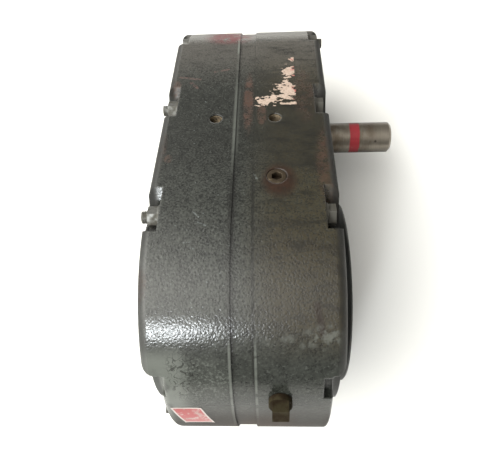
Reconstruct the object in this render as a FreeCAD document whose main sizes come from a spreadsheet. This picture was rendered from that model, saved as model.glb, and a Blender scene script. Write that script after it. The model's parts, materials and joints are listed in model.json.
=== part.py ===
import FreeCAD, Part
import math
import os
from types import SimpleNamespace

import Sketcher

# Shaft mount speed reducer. A hollow output hub slides over the driven shaft, and tapered bushes clamp it.
# Two helical gear stages join it to the input shaft, in a cast casing that is split on its middle plane.
# X runs along the output bore towards the input shaft, Y points from the bore to the input end, Z is up.
# The origin is the middle of the output bore, and the casing rests on its lower flat edge.

Vector = FreeCAD.Vector

# Teeth of the four gears and counts of the pieces that repeat.
OUTPUT_GEAR_TEETH = 58
OUTPUT_PINION_TEETH = 14
INPUT_GEAR_TEETH = 48
INPUT_PINION_TEETH = 15
COVER_SCREW_COUNT = 6
BUSH_SCREW_COUNT = 6
# Each toothed rim is lofted in this many stretches, so that a stretch turns by less than half a tooth.
TOOTH_STRETCHES = 2

# Driving dimensions in millimetres, with angles in degrees and factors, shares and spacings as plain ratios.
DRIVING = (
    ("output_module", 4.0),
    ("input_module", 3.0),
    ("pressure_angle", 20.0),
    ("helix_angle", 8.0),
    ("addendum_factor", 0.85),
    ("dedendum_factor", 1.1),
    ("tooth_thinning", 0.25),
    ("output_face", 48.0),
    ("input_face", 36.0),
    ("pinion_overhang", 2.0),
    ("split_gap", 8.0),
    ("stage_gap", 10.0),
    ("train_angle", 16.54),
    ("wall_thickness", 10.0),
    ("side_wall", 12.0),
    ("edge_radius", 9.0),
    ("small_end_radius", 95.0),
    ("small_end_ahead", 51.0),
    ("band_width", 20.0),
    ("band_depth", 2.0),
    ("boss_wall", 10.0),
    ("cap_boss_height", 1.0),
    ("seal_boss_height", 7.0),
    ("bolt_diameter", 12.0),
    ("bolt_across_flats", 19.0),
    ("bolt_head_height", 7.5),
    ("bolt_proud", 4.0),
    ("bolt_hole_gap", 0.5),
    ("nut_height", 10.0),
    ("washer_radius", 12.0),
    ("washer_thickness", 2.5),
    ("bolt_inset", 14.0),
    ("column_radius", 13.0),
    ("column_clearance", 3.6),
    ("near_bolt_angle", 159.0),
    ("far_upper_angle", 62.0),
    ("far_lower_angle", 22.0),
    ("pocket_radius", 15.0),
    ("pocket_mouth", 54.0),
    ("pocket_depth", 15.0),
    ("recess_angle", 141.0),
    ("recess_inset", 30.0),
    ("recess_depth_right", 11.0),
    ("recess_edge_right", 3.0),
    ("recess_backing_angle", 135.0),
    ("notch_angle", 146.5),
    ("notch_radius", 13.0),
    ("notch_inset", 5.0),
    ("notch_depth", 5.0),
    ("backing_radius", 30.0),
    ("backing_cover", 1.0),
    ("backing_depth", 14.0),
    ("dowel_diameter", 8.0),
    ("dowel_depth", 12.0),
    ("output_bearing_bore", 100.0),
    ("output_bearing_outside", 150.0),
    ("output_bearing_width", 24.0),
    ("shaft_bearing_bore", 40.0),
    ("shaft_bearing_outside", 80.0),
    ("shaft_bearing_width", 18.0),
    ("input_bearing_bore", 45.0),
    ("input_bearing_outside", 85.0),
    ("input_bearing_width", 19.0),
    ("bearing_setback", 7.0),
    ("cap_setback", 8.0),
    ("cap_thickness", 6.0),
    ("ring_share", 0.28),
    ("roller_gap", 0.3),
    ("roller_spacing", 2.2),
    ("shoulder_height", 8.0),
    ("fit_gap", 0.02),
    ("lip_gap", 0.2),
    ("gear_hub_projection", 6.0),
    ("gear_hub_wall", 14.0),
    ("gear_web_depth", 8.0),
    ("gear_rim", 14.0),
    ("hub_overhang", 8.5),
    ("bore_diameter", 55.0),
    ("bush_wall", 10.0),
    ("bush_length", 60.0),
    ("bush_taper", 3.0),
    ("bush_flange_radius", 54.0),
    ("bush_flange_thickness", 6.0),
    ("bush_slit", 3.0),
    ("bush_screw_diameter", 6.0),
    ("bush_screw_depth", 14.0),
    ("bush_screw_flats", 10.0),
    ("bush_screw_head", 4.0),
    ("output_key_width", 16.0),
    ("output_key_height", 10.0),
    ("shaft_key_width", 12.0),
    ("shaft_key_height", 8.0),
    ("key_end_gap", 4.0),
    ("bore_keyway_depth", 4.3),
    ("cover_radius", 102.0),
    ("cover_flange", 9.0),
    ("cover_chamfer", 2.0),
    ("cover_boss_height", 1.5),
    ("cover_boss_margin", 2.0),
    ("gasket_thickness", 1.0),
    ("cover_lip", 2.0),
    ("cover_screw_diameter", 8.0),
    ("cover_screw_head", 5.0),
    ("cover_screw_head_radius", 6.4),
    ("cover_screw_sink", 6.0),
    ("cover_screw_depth", 13.0),
    ("screw_hole_gap", 0.5),
    ("output_seal_outside", 130.0),
    ("output_seal_width", 12.0),
    ("input_seal_width", 10.0),
    ("seal_section", 3.0),
    ("collar_height", 3.0),
    ("shaft_collar", 6.0),
    ("input_shaft_diameter", 42.0),
    ("input_shaft_length", 95.0),
    ("input_shaft_chamfer", 3.0),
    ("input_keyway_width", 12.0),
    ("input_keyway_depth", 5.0),
    ("input_keyway_length", 70.0),
    ("input_keyway_turn", 36.0),
    ("filler_share", 0.141),
    ("filler_offset", 33.0),
    ("filler_diameter", 20.0),
    ("filler_length", 12.0),
    ("filler_chamfer", 1.0),
    ("filler_socket", 10.0),
    ("filler_socket_depth", 7.0),
    ("drain_angle", 152.6),
    ("drain_offset", 33.5),
    ("drain_diameter", 18.0),
    ("drain_length", 12.0),
    ("drain_collar_diameter", 22.0),
    ("drain_collar_height", 6.0),
    ("drain_square", 15.5),
    ("drain_square_height", 11.0),
    ("arm_hole_share", 0.46),
    ("arm_hole_offset", 32.5),
    ("arm_hole_diameter", 14.0),
    ("arm_hole_depth", 16.0),
    ("arm_boss_radius", 13.5),
)

# Places of the casing bolts and dowels, as shares of the straight edges from the big end to the small one.
UPPER_BOLT_SHARES = (0.0, 0.58)
LOWER_BOLT_SHARES = (0.0, 0.35, 0.75)
UPPER_DOWEL_SHARE = 0.27
LOWER_DOWEL_SHARE = 0.92


class Size:
    """A length or ratio that carries its sheet expression together with its present value."""

    def __init__(self, text, value):
        self.text = text
        self.value = value

    def joined(self, sign, other, value):
        return Size(f"({self.text} {sign} {other.text})", value)

    def __add__(self, other):
        other = sized(other)
        return self.joined("+", other, self.value + other.value)

    def __sub__(self, other):
        other = sized(other)
        return self.joined("-", other, self.value - other.value)

    def __mul__(self, other):
        other = sized(other)
        return self.joined("*", other, self.value * other.value)

    def __truediv__(self, other):
        other = sized(other)
        return self.joined("/", other, self.value / other.value)

    def __neg__(self):
        return Size(f"(0 - {self.text})", -self.value)

    def __radd__(self, other):
        return sized(other) + self

    def __rsub__(self, other):
        return sized(other) - self

    def __rmul__(self, other):
        return sized(other) * self

    def __rtruediv__(self, other):
        return sized(other) / self


def sized(number):
    """Wrap a plain number, so that it can stand beside named sizes."""
    if isinstance(number, Size):
        return number
    return Size(f"({number:.9f})", float(number))


def square_root(size):
    return Size(f"sqrt({size.text})", math.sqrt(size.value))


def cosine(angle):
    return Size(f"cos({angle.text})", math.cos(math.radians(angle.value)))


def sine(angle):
    return Size(f"sin({angle.text})", math.sin(math.radians(angle.value)))


def arcsine(ratio):
    return Size(f"asin({ratio.text})", math.degrees(math.asin(ratio.value)))


doc = FreeCAD.newDocument("ShaftMountReducer")
sheet = doc.addObject("Spreadsheet::Sheet", "Dims")
for row, (name, value) in enumerate(DRIVING, start=1):
    sheet.set(f"A{row}", str(value))
    sheet.setAlias(f"A{row}", name)
dim = SimpleNamespace(**{name: Size(f"Dims.{name}", value) for name, value in DRIVING})
derived = doc.addObject("App::VarSet", "Derived")
doc.recompute()


def derive(name, size):
    """Store a worked-out size in the document, so that expressions stay short."""
    derived.addProperty("App::PropertyFloat", name)
    derived.setExpression(name, size.text)
    return Size(f"Derived.{name}", size.value)


def half(size):
    return size / 2


# Gear train: the output, intermediate and input axes lie on one line that leans down from the bore.
output_centres = derive("output_centres", dim.output_module * ((OUTPUT_GEAR_TEETH + OUTPUT_PINION_TEETH) / 2))
input_centres = derive("input_centres", dim.input_module * ((INPUT_GEAR_TEETH + INPUT_PINION_TEETH) / 2))
train_cos = derive("train_cos", cosine(dim.train_angle))
train_sin = derive("train_sin", sine(dim.train_angle))
shaft_y = derive("shaft_y", output_centres * train_cos)
shaft_z = derive("shaft_z", -(output_centres * train_sin))
input_y = derive("input_y", (output_centres + input_centres) * train_cos)
input_z = derive("input_z", -((output_centres + input_centres) * train_sin))
OUTPUT_AXIS = (sized(0), sized(0))
SHAFT_AXIS = (shaft_y, shaft_z)
INPUT_AXIS = (input_y, input_z)

# Stations along X. The left output bearing backs the output gear, and the right one mirrors it.
gear_right = derive("gear_right", -dim.split_gap)
gear_left = derive("gear_left", gear_right - dim.output_face)
output_bearing_inner = derive("output_bearing_inner", dim.gear_hub_projection - gear_left)
output_bearing_outer = derive("output_bearing_outer", output_bearing_inner + dim.output_bearing_width)
half_width = derive("half_width", output_bearing_outer + dim.bearing_setback)
cavity_side = derive("cavity_side", half_width - dim.side_wall)
shaft_bearing_outer = derive("shaft_bearing_outer", half_width - dim.cap_setback)
shaft_bearing_inner = derive("shaft_bearing_inner", shaft_bearing_outer - dim.shaft_bearing_width)
input_bearing_inner = derive("input_bearing_inner", shaft_bearing_outer - dim.input_bearing_width)
input_gear_end = derive("input_gear_end", dim.stage_gap + dim.input_face)
pocket_floor = derive("pocket_floor", half_width - dim.pocket_depth)
# The recess round the big end is as deep as the pockets on the left, and shallower on the right.
recess_floors = {1: derive("recess_floor_right", half_width - dim.recess_depth_right), -1: pocket_floor}
recess_edges = {1: dim.recess_edge_right, -1: dim.edge_radius}
cover_seat = derive("cover_seat", half_width + dim.cover_boss_height)
cover_back = derive("cover_back", cover_seat + dim.gasket_thickness)
cover_front = derive("cover_front", cover_back + dim.cover_flange)
hub_end = derive("hub_end", half_width + dim.hub_overhang)
bush_inner_end = derive("bush_inner_end", hub_end - dim.bush_length)
bush_face = derive("bush_face", hub_end + dim.bush_flange_thickness)
seal_boss_face = derive("seal_boss_face", half_width + dim.seal_boss_height)
cap_boss_face = derive("cap_boss_face", half_width + dim.cap_boss_height)

# Radii of the turned pieces.
hub_seat = derive("hub_seat", half(dim.output_bearing_bore))
hub_shoulder = derive("hub_shoulder", hub_seat + dim.shoulder_height)
hub_flange = derive("hub_flange", hub_shoulder + dim.shoulder_height)
bore_radius = derive("bore_radius", half(dim.bore_diameter))
bush_large = derive("bush_large", bore_radius + dim.bush_wall)
bush_small = derive("bush_small", bush_large - dim.bush_taper)
shaft_seat = derive("shaft_seat", half(dim.shaft_bearing_bore))
gear_seat = derive("gear_seat", shaft_seat + dim.shoulder_height / 2)
input_seat = derive("input_seat", half(dim.input_bearing_bore))
input_shoulder = derive("input_shoulder", input_seat + dim.collar_height)
input_radius = derive("input_radius", half(dim.input_shaft_diameter))
# The cover screws stand midway between bearing and cover rim, and the bush screws midway in the hub's end.
output_bore = derive("output_bore", half(dim.output_bearing_outside))
cover_screw_circle = derive("cover_screw_circle", half(output_bore + dim.cover_radius))
bush_screw_circle = derive("bush_screw_circle", half(bush_large + hub_seat))


def pitch_radius(module, teeth):
    return module * (teeth / 2)


def tip_radius(module, teeth):
    return pitch_radius(module, teeth) + module * dim.addendum_factor


def root_radius(module, teeth):
    return pitch_radius(module, teeth) - module * dim.dedendum_factor


# Casing outline: two arcs and their tangents. The lower one is level, and the big end clears the output gear.
output_tip = derive("output_tip", tip_radius(dim.output_module, OUTPUT_GEAR_TEETH))
big_radius = derive(
    "big_radius", output_tip + dim.column_clearance + dim.column_radius + dim.bolt_inset
)
small_radius = dim.small_end_radius
small_y = derive("small_y", input_y + dim.small_end_ahead)
small_z = derive("small_z", small_radius - big_radius)
end_centres = derive("end_centres", square_root(small_y * small_y + small_z * small_z))
lean_cos = derive("lean_cos", small_y / end_centres)
lean_sin = derive("lean_sin", -(small_z / end_centres))
upper_normal = (
    derive("upper_normal_y", 2 * lean_sin * lean_cos),
    derive("upper_normal_z", lean_cos * lean_cos - lean_sin * lean_sin),
)
LOWER_NORMAL = (sized(0), sized(-1))
upper_lean = derive("upper_lean", 2 * arcsine(lean_sin))


class EdgePlace:
    """A place on the casing outline, with the outward normal there."""

    def __init__(self, centre, reach, normal):
        self.centre = centre
        self.reach = reach
        self.normal = normal

    def at(self, inset):
        """The point that lies this far inside the outline."""
        out = self.reach - inset
        return tuple(base + normal * out for base, normal in zip(self.centre, self.normal))

    def beside(self, along, inset):
        """The point this far along the outline's tangent and this far inside it."""
        point = self.at(inset)
        return point[0] + self.normal[1] * along, point[1] - self.normal[0] * along


def on_straight(normal, share):
    centre = (small_y * share, small_z * share)
    reach = big_radius + (small_radius - big_radius) * share
    return EdgePlace(centre, reach, normal)


def on_arc(centre, radius, angle, side):
    """A place on an end arc, turned from the line of centres to the upper (1) or lower (-1) edge."""
    along = cosine(angle)
    across = sine(angle) * side
    normal = (lean_cos * along + lean_sin * across, lean_cos * across - lean_sin * along)
    return EdgePlace(centre, radius, normal)


def stored(name, place):
    """The same place with its numbers kept in the document."""
    centre = tuple(derive(f"{name}_centre_{axis}", part) for axis, part in zip("yz", place.centre))
    normal = tuple(derive(f"{name}_normal_{axis}", part) for axis, part in zip("yz", place.normal))
    return EdgePlace(centre, derive(f"{name}_reach", place.reach), normal)


SMALL_CENTRE = (small_y, small_z)
bolt_places = [on_straight(upper_normal, share) for share in UPPER_BOLT_SHARES]
bolt_places += [on_straight(LOWER_NORMAL, share) for share in LOWER_BOLT_SHARES]
bolt_places.append(on_arc(SMALL_CENTRE, small_radius, dim.far_lower_angle, -1))
forward_places = [stored(f"bolt_{number}", place) for number, place in enumerate(bolt_places)]
# The far upper bolt is put in from the left, and the near one stands in the recess round the big end.
far_place = stored("far_bolt", on_arc(SMALL_CENTRE, small_radius, dim.far_upper_angle, 1))
near_place = stored("near_bolt", on_arc(OUTPUT_AXIS, big_radius, dim.near_bolt_angle, -1))
pocket_places = forward_places + [far_place]
bolt_places = pocket_places + [near_place]


def arc_ends(name, angle):
    """The upper and the lower place at one angle of the big end's arc."""
    upper, lower = [on_arc(OUTPUT_AXIS, big_radius, angle, side) for side in (1, -1)]
    return stored(f"{name}_upper", upper), stored(f"{name}_lower", lower)


recess_ends = arc_ends("recess", dim.recess_angle)
recess_backing_ends = arc_ends("recess_backing", dim.recess_backing_angle)
notch_ends = arc_ends("notch", dim.notch_angle)
dowel_places = [
    stored("dowel_0", on_straight(upper_normal, UPPER_DOWEL_SHARE)),
    stored("dowel_1", on_straight(LOWER_NORMAL, LOWER_DOWEL_SHARE)),
]
filler_place = stored("filler", on_straight(upper_normal, dim.filler_share))
arm_place = stored("arm_hole", on_straight(upper_normal, dim.arm_hole_share))
drain_place = stored("drain", on_arc(OUTPUT_AXIS, big_radius, dim.drain_angle, 1))
# Leans of the tilted sketches about X: zero faces up, and a positive lean faces the big end.
drain_lean = derive("drain_lean", dim.drain_angle - 90 - upper_lean / 2)
edge_lean = derive("edge_lean", -upper_lean)
recess_leans = (
    derive("recess_upper_lean", dim.recess_angle - 90 - upper_lean / 2),
    derive("recess_lower_lean", 270 - dim.recess_angle - upper_lean / 2),
)
doc.recompute()

nodes = []


def placed(piece, axis):
    """Put a piece that was made about the X axis on its own axis."""
    piece.Placement = FreeCAD.Placement(Vector(0, axis[0].value, axis[1].value), FreeCAD.Rotation())
    piece.setExpression("Placement.Base.y", axis[0].text)
    piece.setExpression("Placement.Base.z", axis[1].text)


def new_body(label, axis=OUTPUT_AXIS, many=False):
    body = doc.addObject("PartDesign::Body", label)
    body.Label = label
    body.AllowCompound = many
    placed(body, axis)
    return body


def node(piece):
    nodes.append(piece)
    return piece


def new_sketch(body, name, role):
    plane = [feature for feature in body.Origin.OriginFeatures if feature.Role == role][0]
    sketch = body.newObject("Sketcher::SketchObject", name)
    sketch.AttachmentSupport = [(plane, "")]
    sketch.MapMode = "FlatFace"
    return sketch


def station_sketch(body, name, role, station):
    """A sketch on an origin plane, moved along the plane's normal."""
    sketch = new_sketch(body, name, role)
    sketch.AttachmentOffset = FreeCAD.Placement(Vector(0, 0, station.value), FreeCAD.Rotation())
    sketch.setExpression("AttachmentOffset.Base.z", station.text)
    return sketch


def leaning_sketch(body, name, point, lean):
    """A sketch whose origin is a point of the YZ plane, and whose normal leans from Z about X."""
    sketch = new_sketch(body, name, "XY_Plane")
    turn = FreeCAD.Rotation(Vector(1, 0, 0), lean.value)
    sketch.AttachmentOffset = FreeCAD.Placement(Vector(0, point[0].value, point[1].value), turn)
    sketch.setExpression("AttachmentOffset.Base.y", point[0].text)
    sketch.setExpression("AttachmentOffset.Base.z", point[1].text)
    sketch.setExpression("AttachmentOffset.Rotation.Axis.x", "1")
    sketch.setExpression("AttachmentOffset.Rotation.Angle", lean.text)
    return sketch


def bind(sketch, kind, references, size):
    number = sketch.addConstraint(Sketcher.Constraint(kind, *references, size.value))
    sketch.setExpression(f"Constraints[{number}]", size.text)


def bind_point(sketch, geometry, vertex, point):
    bind(sketch, "DistanceX", (-1, 1, geometry, vertex), point[0])
    bind(sketch, "DistanceY", (-1, 1, geometry, vertex), point[1])


def draw_circle(sketch, centre, radius):
    middle = Vector(centre[0].value, centre[1].value, 0)
    geometry = sketch.addGeometry(Part.Circle(middle, Vector(0, 0, 1), radius.value))
    bind_point(sketch, geometry, 3, centre)
    bind(sketch, "Radius", (geometry,), radius)


def draw_polygon(sketch, points):
    corners = [Vector(point[0].value, point[1].value, 0) for point in points]
    count = len(points)
    lines = [
        sketch.addGeometry(Part.LineSegment(corners[number], corners[(number + 1) % count]))
        for number in range(count)
    ]
    for number, line in enumerate(lines):
        following = lines[(number + 1) % count]
        sketch.addConstraint(Sketcher.Constraint("Coincident", line, 2, following, 1))
    for line, point in zip(lines, points):
        bind_point(sketch, line, 1, point)


def draw_rectangle(sketch, low, high):
    draw_polygon(sketch, [low, (high[0], low[1]), high, (low[0], high[1])])


def draw_hexagon(sketch, centre, across_flats):
    corner = across_flats / math.sqrt(3)
    points = []
    for number in range(6):
        angle = math.radians(60 * number + 30)
        points.append((centre[0] + corner * math.cos(angle), centre[1] + corner * math.sin(angle)))
    draw_polygon(sketch, points)


def draw_teardrop(sketch, inset):
    """The casing outline moved inwards: two arcs and their common tangents."""
    big = big_radius - inset
    small = small_radius - inset
    axis = Vector(0, 0, 1)
    upper = math.atan2(upper_normal[1].value, upper_normal[0].value)
    lower = -math.pi / 2
    big_circle = Part.Circle(Vector(0, 0, 0), axis, big.value)
    small_circle = Part.Circle(Vector(small_y.value, small_z.value, 0), axis, small.value)
    big_arc = Part.ArcOfCircle(big_circle, upper, lower + 2 * math.pi)
    small_arc = Part.ArcOfCircle(small_circle, lower, upper)
    big_geometry = sketch.addGeometry(big_arc)
    small_geometry = sketch.addGeometry(small_arc)
    lower_line = sketch.addGeometry(Part.LineSegment(big_arc.EndPoint, small_arc.StartPoint))
    upper_line = sketch.addGeometry(Part.LineSegment(small_arc.EndPoint, big_arc.StartPoint))
    ring = ((big_geometry, lower_line), (lower_line, small_geometry), (small_geometry, upper_line),
            (upper_line, big_geometry))
    for first, second in ring:
        sketch.addConstraint(Sketcher.Constraint("Tangent", first, 2, second, 1))
    bind_point(sketch, big_geometry, 3, OUTPUT_AXIS)
    bind_point(sketch, small_geometry, 3, SMALL_CENTRE)
    bind(sketch, "Radius", (big_geometry,), big)
    bind(sketch, "Radius", (small_geometry,), small)


def draw_sector(sketch, ends, outer_inset, inner_inset):
    """A stretch of ring about the bore, between two places of the big end's arc."""
    first, last = ends
    lines = []
    for start, end in ((first.at(inner_inset), first.at(outer_inset)),
                       (last.at(outer_inset), last.at(inner_inset))):
        corners = [Vector(point[0].value, point[1].value, 0) for point in (start, end)]
        line = sketch.addGeometry(Part.LineSegment(*corners))
        bind_point(sketch, line, 1, start)
        bind_point(sketch, line, 2, end)
        lines.append(line)
    low, high = [math.atan2(place.normal[1].value, place.normal[0].value) for place in ends]
    for inset, start_vertex, end_vertex in ((outer_inset, 2, 1), (inner_inset, 1, 2)):
        circle = Part.Circle(Vector(0, 0, 0), Vector(0, 0, 1), (big_radius - inset).value)
        arc = sketch.addGeometry(Part.ArcOfCircle(circle, low, high + 2 * math.pi))
        sketch.addConstraint(Sketcher.Constraint("Coincident", arc, 1, lines[0], start_vertex))
        sketch.addConstraint(Sketcher.Constraint("Coincident", arc, 2, lines[1], end_vertex))
        bind(sketch, "DistanceX", (-1, 1, arc, 3), OUTPUT_AXIS[0])


def draw_corner_waste(sketch, across, along):
    """What a rounded corner leaves of a square one, on the right or left (across) and up or down (along)."""
    floor = recess_floors[across]
    radius = half_width - floor
    start = (floor * across, sized(0))
    end = (half_width * across, radius * along)
    beyond = seal_boss_face * across
    points = (end, (beyond, end[1]), (beyond, start[1]), start)
    corners = [Vector(point[0].value, point[1].value, 0) for point in points]
    lines = [sketch.addGeometry(Part.LineSegment(*pair)) for pair in zip(corners, corners[1:])]
    for first, second in zip(lines, lines[1:]):
        sketch.addConstraint(Sketcher.Constraint("Coincident", first, 2, second, 1))
    for line, point in zip(lines, points):
        bind_point(sketch, line, 1, point)
    bind_point(sketch, lines[-1], 2, start)
    middle = Vector(start[0].value, end[1].value, 0)
    quarter = math.pi / 2
    turn = {(1, 1): 3, (-1, 1): 2, (1, -1): 0, (-1, -1): 1}[across, along] * quarter
    circle = Part.Circle(middle, Vector(0, 0, 1), radius.value)
    arc = sketch.addGeometry(Part.ArcOfCircle(circle, turn, turn + quarter))
    start_vertex, end_vertex = (1, 2) if across * along > 0 else (2, 1)
    sketch.addConstraint(Sketcher.Constraint("Coincident", arc, start_vertex, lines[-1], 2))
    sketch.addConstraint(Sketcher.Constraint("Coincident", arc, end_vertex, lines[0], 1))
    bind(sketch, "Radius", (arc,), radius)


def add(body, name, sketch, length, backwards=False):
    pad = body.newObject("PartDesign::Pad", name)
    pad.Profile = sketch
    pad.setExpression("Length", length.text)
    pad.Reversed = backwards
    return pad


def remove(body, name, sketch, length):
    pocket = body.newObject("PartDesign::Pocket", name)
    pocket.Profile = sketch
    pocket.setExpression("Length", length.text)
    return pocket


def span(side, inner, outer):
    """The two stations of a stretch along X, lower first, on the right (1) or left (-1) of the joint."""
    if side > 0:
        return inner, outer
    return -outer, -inner


def add_between(body, name, draw, low, high, role="YZ_Plane"):
    sketch = station_sketch(body, f"{name}Sketch", role, low)
    draw(sketch)
    return add(body, name, sketch, high - low)


def remove_between(body, name, draw, low, high, role="YZ_Plane"):
    sketch = station_sketch(body, f"{name}Sketch", role, high)
    draw(sketch)
    return remove(body, name, sketch, high - low)


def circles(points, radius):
    def draw(sketch):
        for point in points:
            draw_circle(sketch, point, radius)
    return draw


def rings(points, inner, outer):
    def draw(sketch):
        for point in points:
            draw_circle(sketch, point, outer)
            draw_circle(sketch, point, inner)
    return draw


def hexagons(points, across_flats):
    def draw(sketch):
        for point in points:
            draw_hexagon(sketch, point, across_flats)
    return draw


def rectangle(low, high):
    return lambda sketch: draw_rectangle(sketch, low, high)


def teardrop(*insets):
    def draw(sketch):
        for inset in insets:
            draw_teardrop(sketch, inset)
    return draw


def sector(ends, outer_inset, inner_inset):
    return lambda sketch: draw_sector(sketch, ends, outer_inset, inner_inset)


def pocket_mouths(sketch):
    """The flared mouths of the bolt pockets, wide at the outline and as narrow as the pocket deep inside."""
    flank = dim.pocket_radius / math.sqrt(2)
    reach = half(dim.pocket_mouth)
    deep = dim.bolt_inset + flank
    outside = -dim.edge_radius
    corners = ((-flank, deep), (-reach, sized(0)), (-reach, outside), (reach, outside), (reach, sized(0)),
               (flank, deep))
    for place in pocket_places:
        draw_polygon(sketch, [place.beside(along, inset) for along, inset in corners])


def circle_points(count, radius):
    """Points spaced evenly on a circle about the X axis."""
    angles = [2 * math.pi * number / count for number in range(count)]
    return [(radius * math.cos(angle), radius * math.sin(angle)) for angle in angles]


def turned_body(label, points, axis=OUTPUT_AXIS, side=1):
    """A piece turned about its axis from (station, radius) points, mirrored for the left side."""
    body = new_body(label, axis)
    sketch = new_sketch(body, f"{label}Profile", "XY_Plane")
    draw_polygon(sketch, [(station * side, radius) for station, radius in points])
    turned = body.newObject("PartDesign::Revolution", f"{label}Turned")
    turned.Profile = sketch
    turned.ReferenceAxis = (sketch, ["H_Axis"])
    turned.Angle = 360
    return body


def turned_ring(label, low, high, inner, outer, axis=OUTPUT_AXIS, side=1):
    return turned_body(label, [(low, inner), (high, inner), (high, outer), (low, outer)], axis, side)


SIDE_NAMES = {1: "right", -1: "left"}


def edge_names(feature, fits):
    """Names of the feature's edges whose vertices all fit."""
    return [
        f"Edge{number}"
        for number, edge in enumerate(feature.Shape.Edges, start=1)
        if all(fits(vertex.Point) for vertex in edge.Vertexes)
    ]


def round_edges(body, name, feature, radius, fits):
    rounding = body.newObject("PartDesign::Fillet", name)
    rounding.Base = (feature, edge_names(feature, fits))
    rounding.setExpression("Radius", radius.text)


def add_end_recess(body, side):
    """The narrower stretch round the big end: backed inside the cavity, rounded, and notched at both ends."""
    backing = sector(recess_backing_ends, dim.edge_radius, dim.recess_inset + dim.wall_thickness)
    add_between(body, "RecessBacking", backing, *span(side, cavity_side - dim.backing_depth, cavity_side))
    cut = sector(recess_ends, -dim.edge_radius, dim.recess_inset)
    floor = recess_floors[side]
    recess = remove_between(body, "EndRecess", cut, *span(side, floor, seal_boss_face))
    doc.recompute()

    def on_floor_rim(point):
        at_floor = abs(abs(point.x) - floor.value) < 0.001
        return at_floor and abs(math.hypot(point.y, point.z) - big_radius.value) < 0.001

    round_edges(body, "RecessRounding", recess, recess_edges[side], on_floor_rim)
    depth = dim.edge_radius + dim.recess_inset
    for name, place, lean, along in zip(("Upper", "Lower"), recess_ends, recess_leans, (1, -1)):
        shoulder = leaning_sketch(body, f"{name}ShoulderSketch", place.at(-dim.edge_radius), lean)
        draw_corner_waste(shoulder, side, along)
        remove(body, f"{name}Shoulder", shoulder, depth)
    notches = circles([place.at(dim.notch_inset) for place in notch_ends], dim.notch_radius)
    notch_floor = pocket_floor - dim.notch_depth
    remove_between(body, "EndNotches", notches, *span(side, notch_floor, seal_boss_face))


def add_arm_boss(body, side):
    """The thickened wall and tapped hole that a torque arm bracket is bolted to."""
    offset = (dim.arm_hole_offset * side, sized(0))
    boss = leaning_sketch(body, "ArmBossSketch", arm_place.at(dim.wall_thickness / 2), edge_lean)
    draw_circle(boss, offset, dim.arm_boss_radius)
    add(body, "ArmBoss", boss, dim.arm_hole_depth, backwards=True)
    hole = leaning_sketch(body, "ArmHoleSketch", arm_place.at(sized(0)), edge_lean)
    draw_circle(hole, offset, half(dim.arm_hole_diameter))
    remove(body, "ArmHole", hole, dim.arm_hole_depth)


def add_plug_holes(body):
    filler = leaning_sketch(body, "FillerHoleSketch", filler_place.at(sized(0)), edge_lean)
    draw_circle(filler, (dim.filler_offset, sized(0)), half(dim.filler_diameter))
    remove(body, "FillerHole", filler, dim.wall_thickness * 2)
    drain = leaning_sketch(body, "DrainHoleSketch", drain_place.at(-dim.edge_radius), drain_lean)
    draw_circle(drain, (dim.drain_offset, sized(0)), half(dim.drain_diameter))
    remove(body, "DrainHole", drain, dim.edge_radius + dim.wall_thickness * 2)


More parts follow.
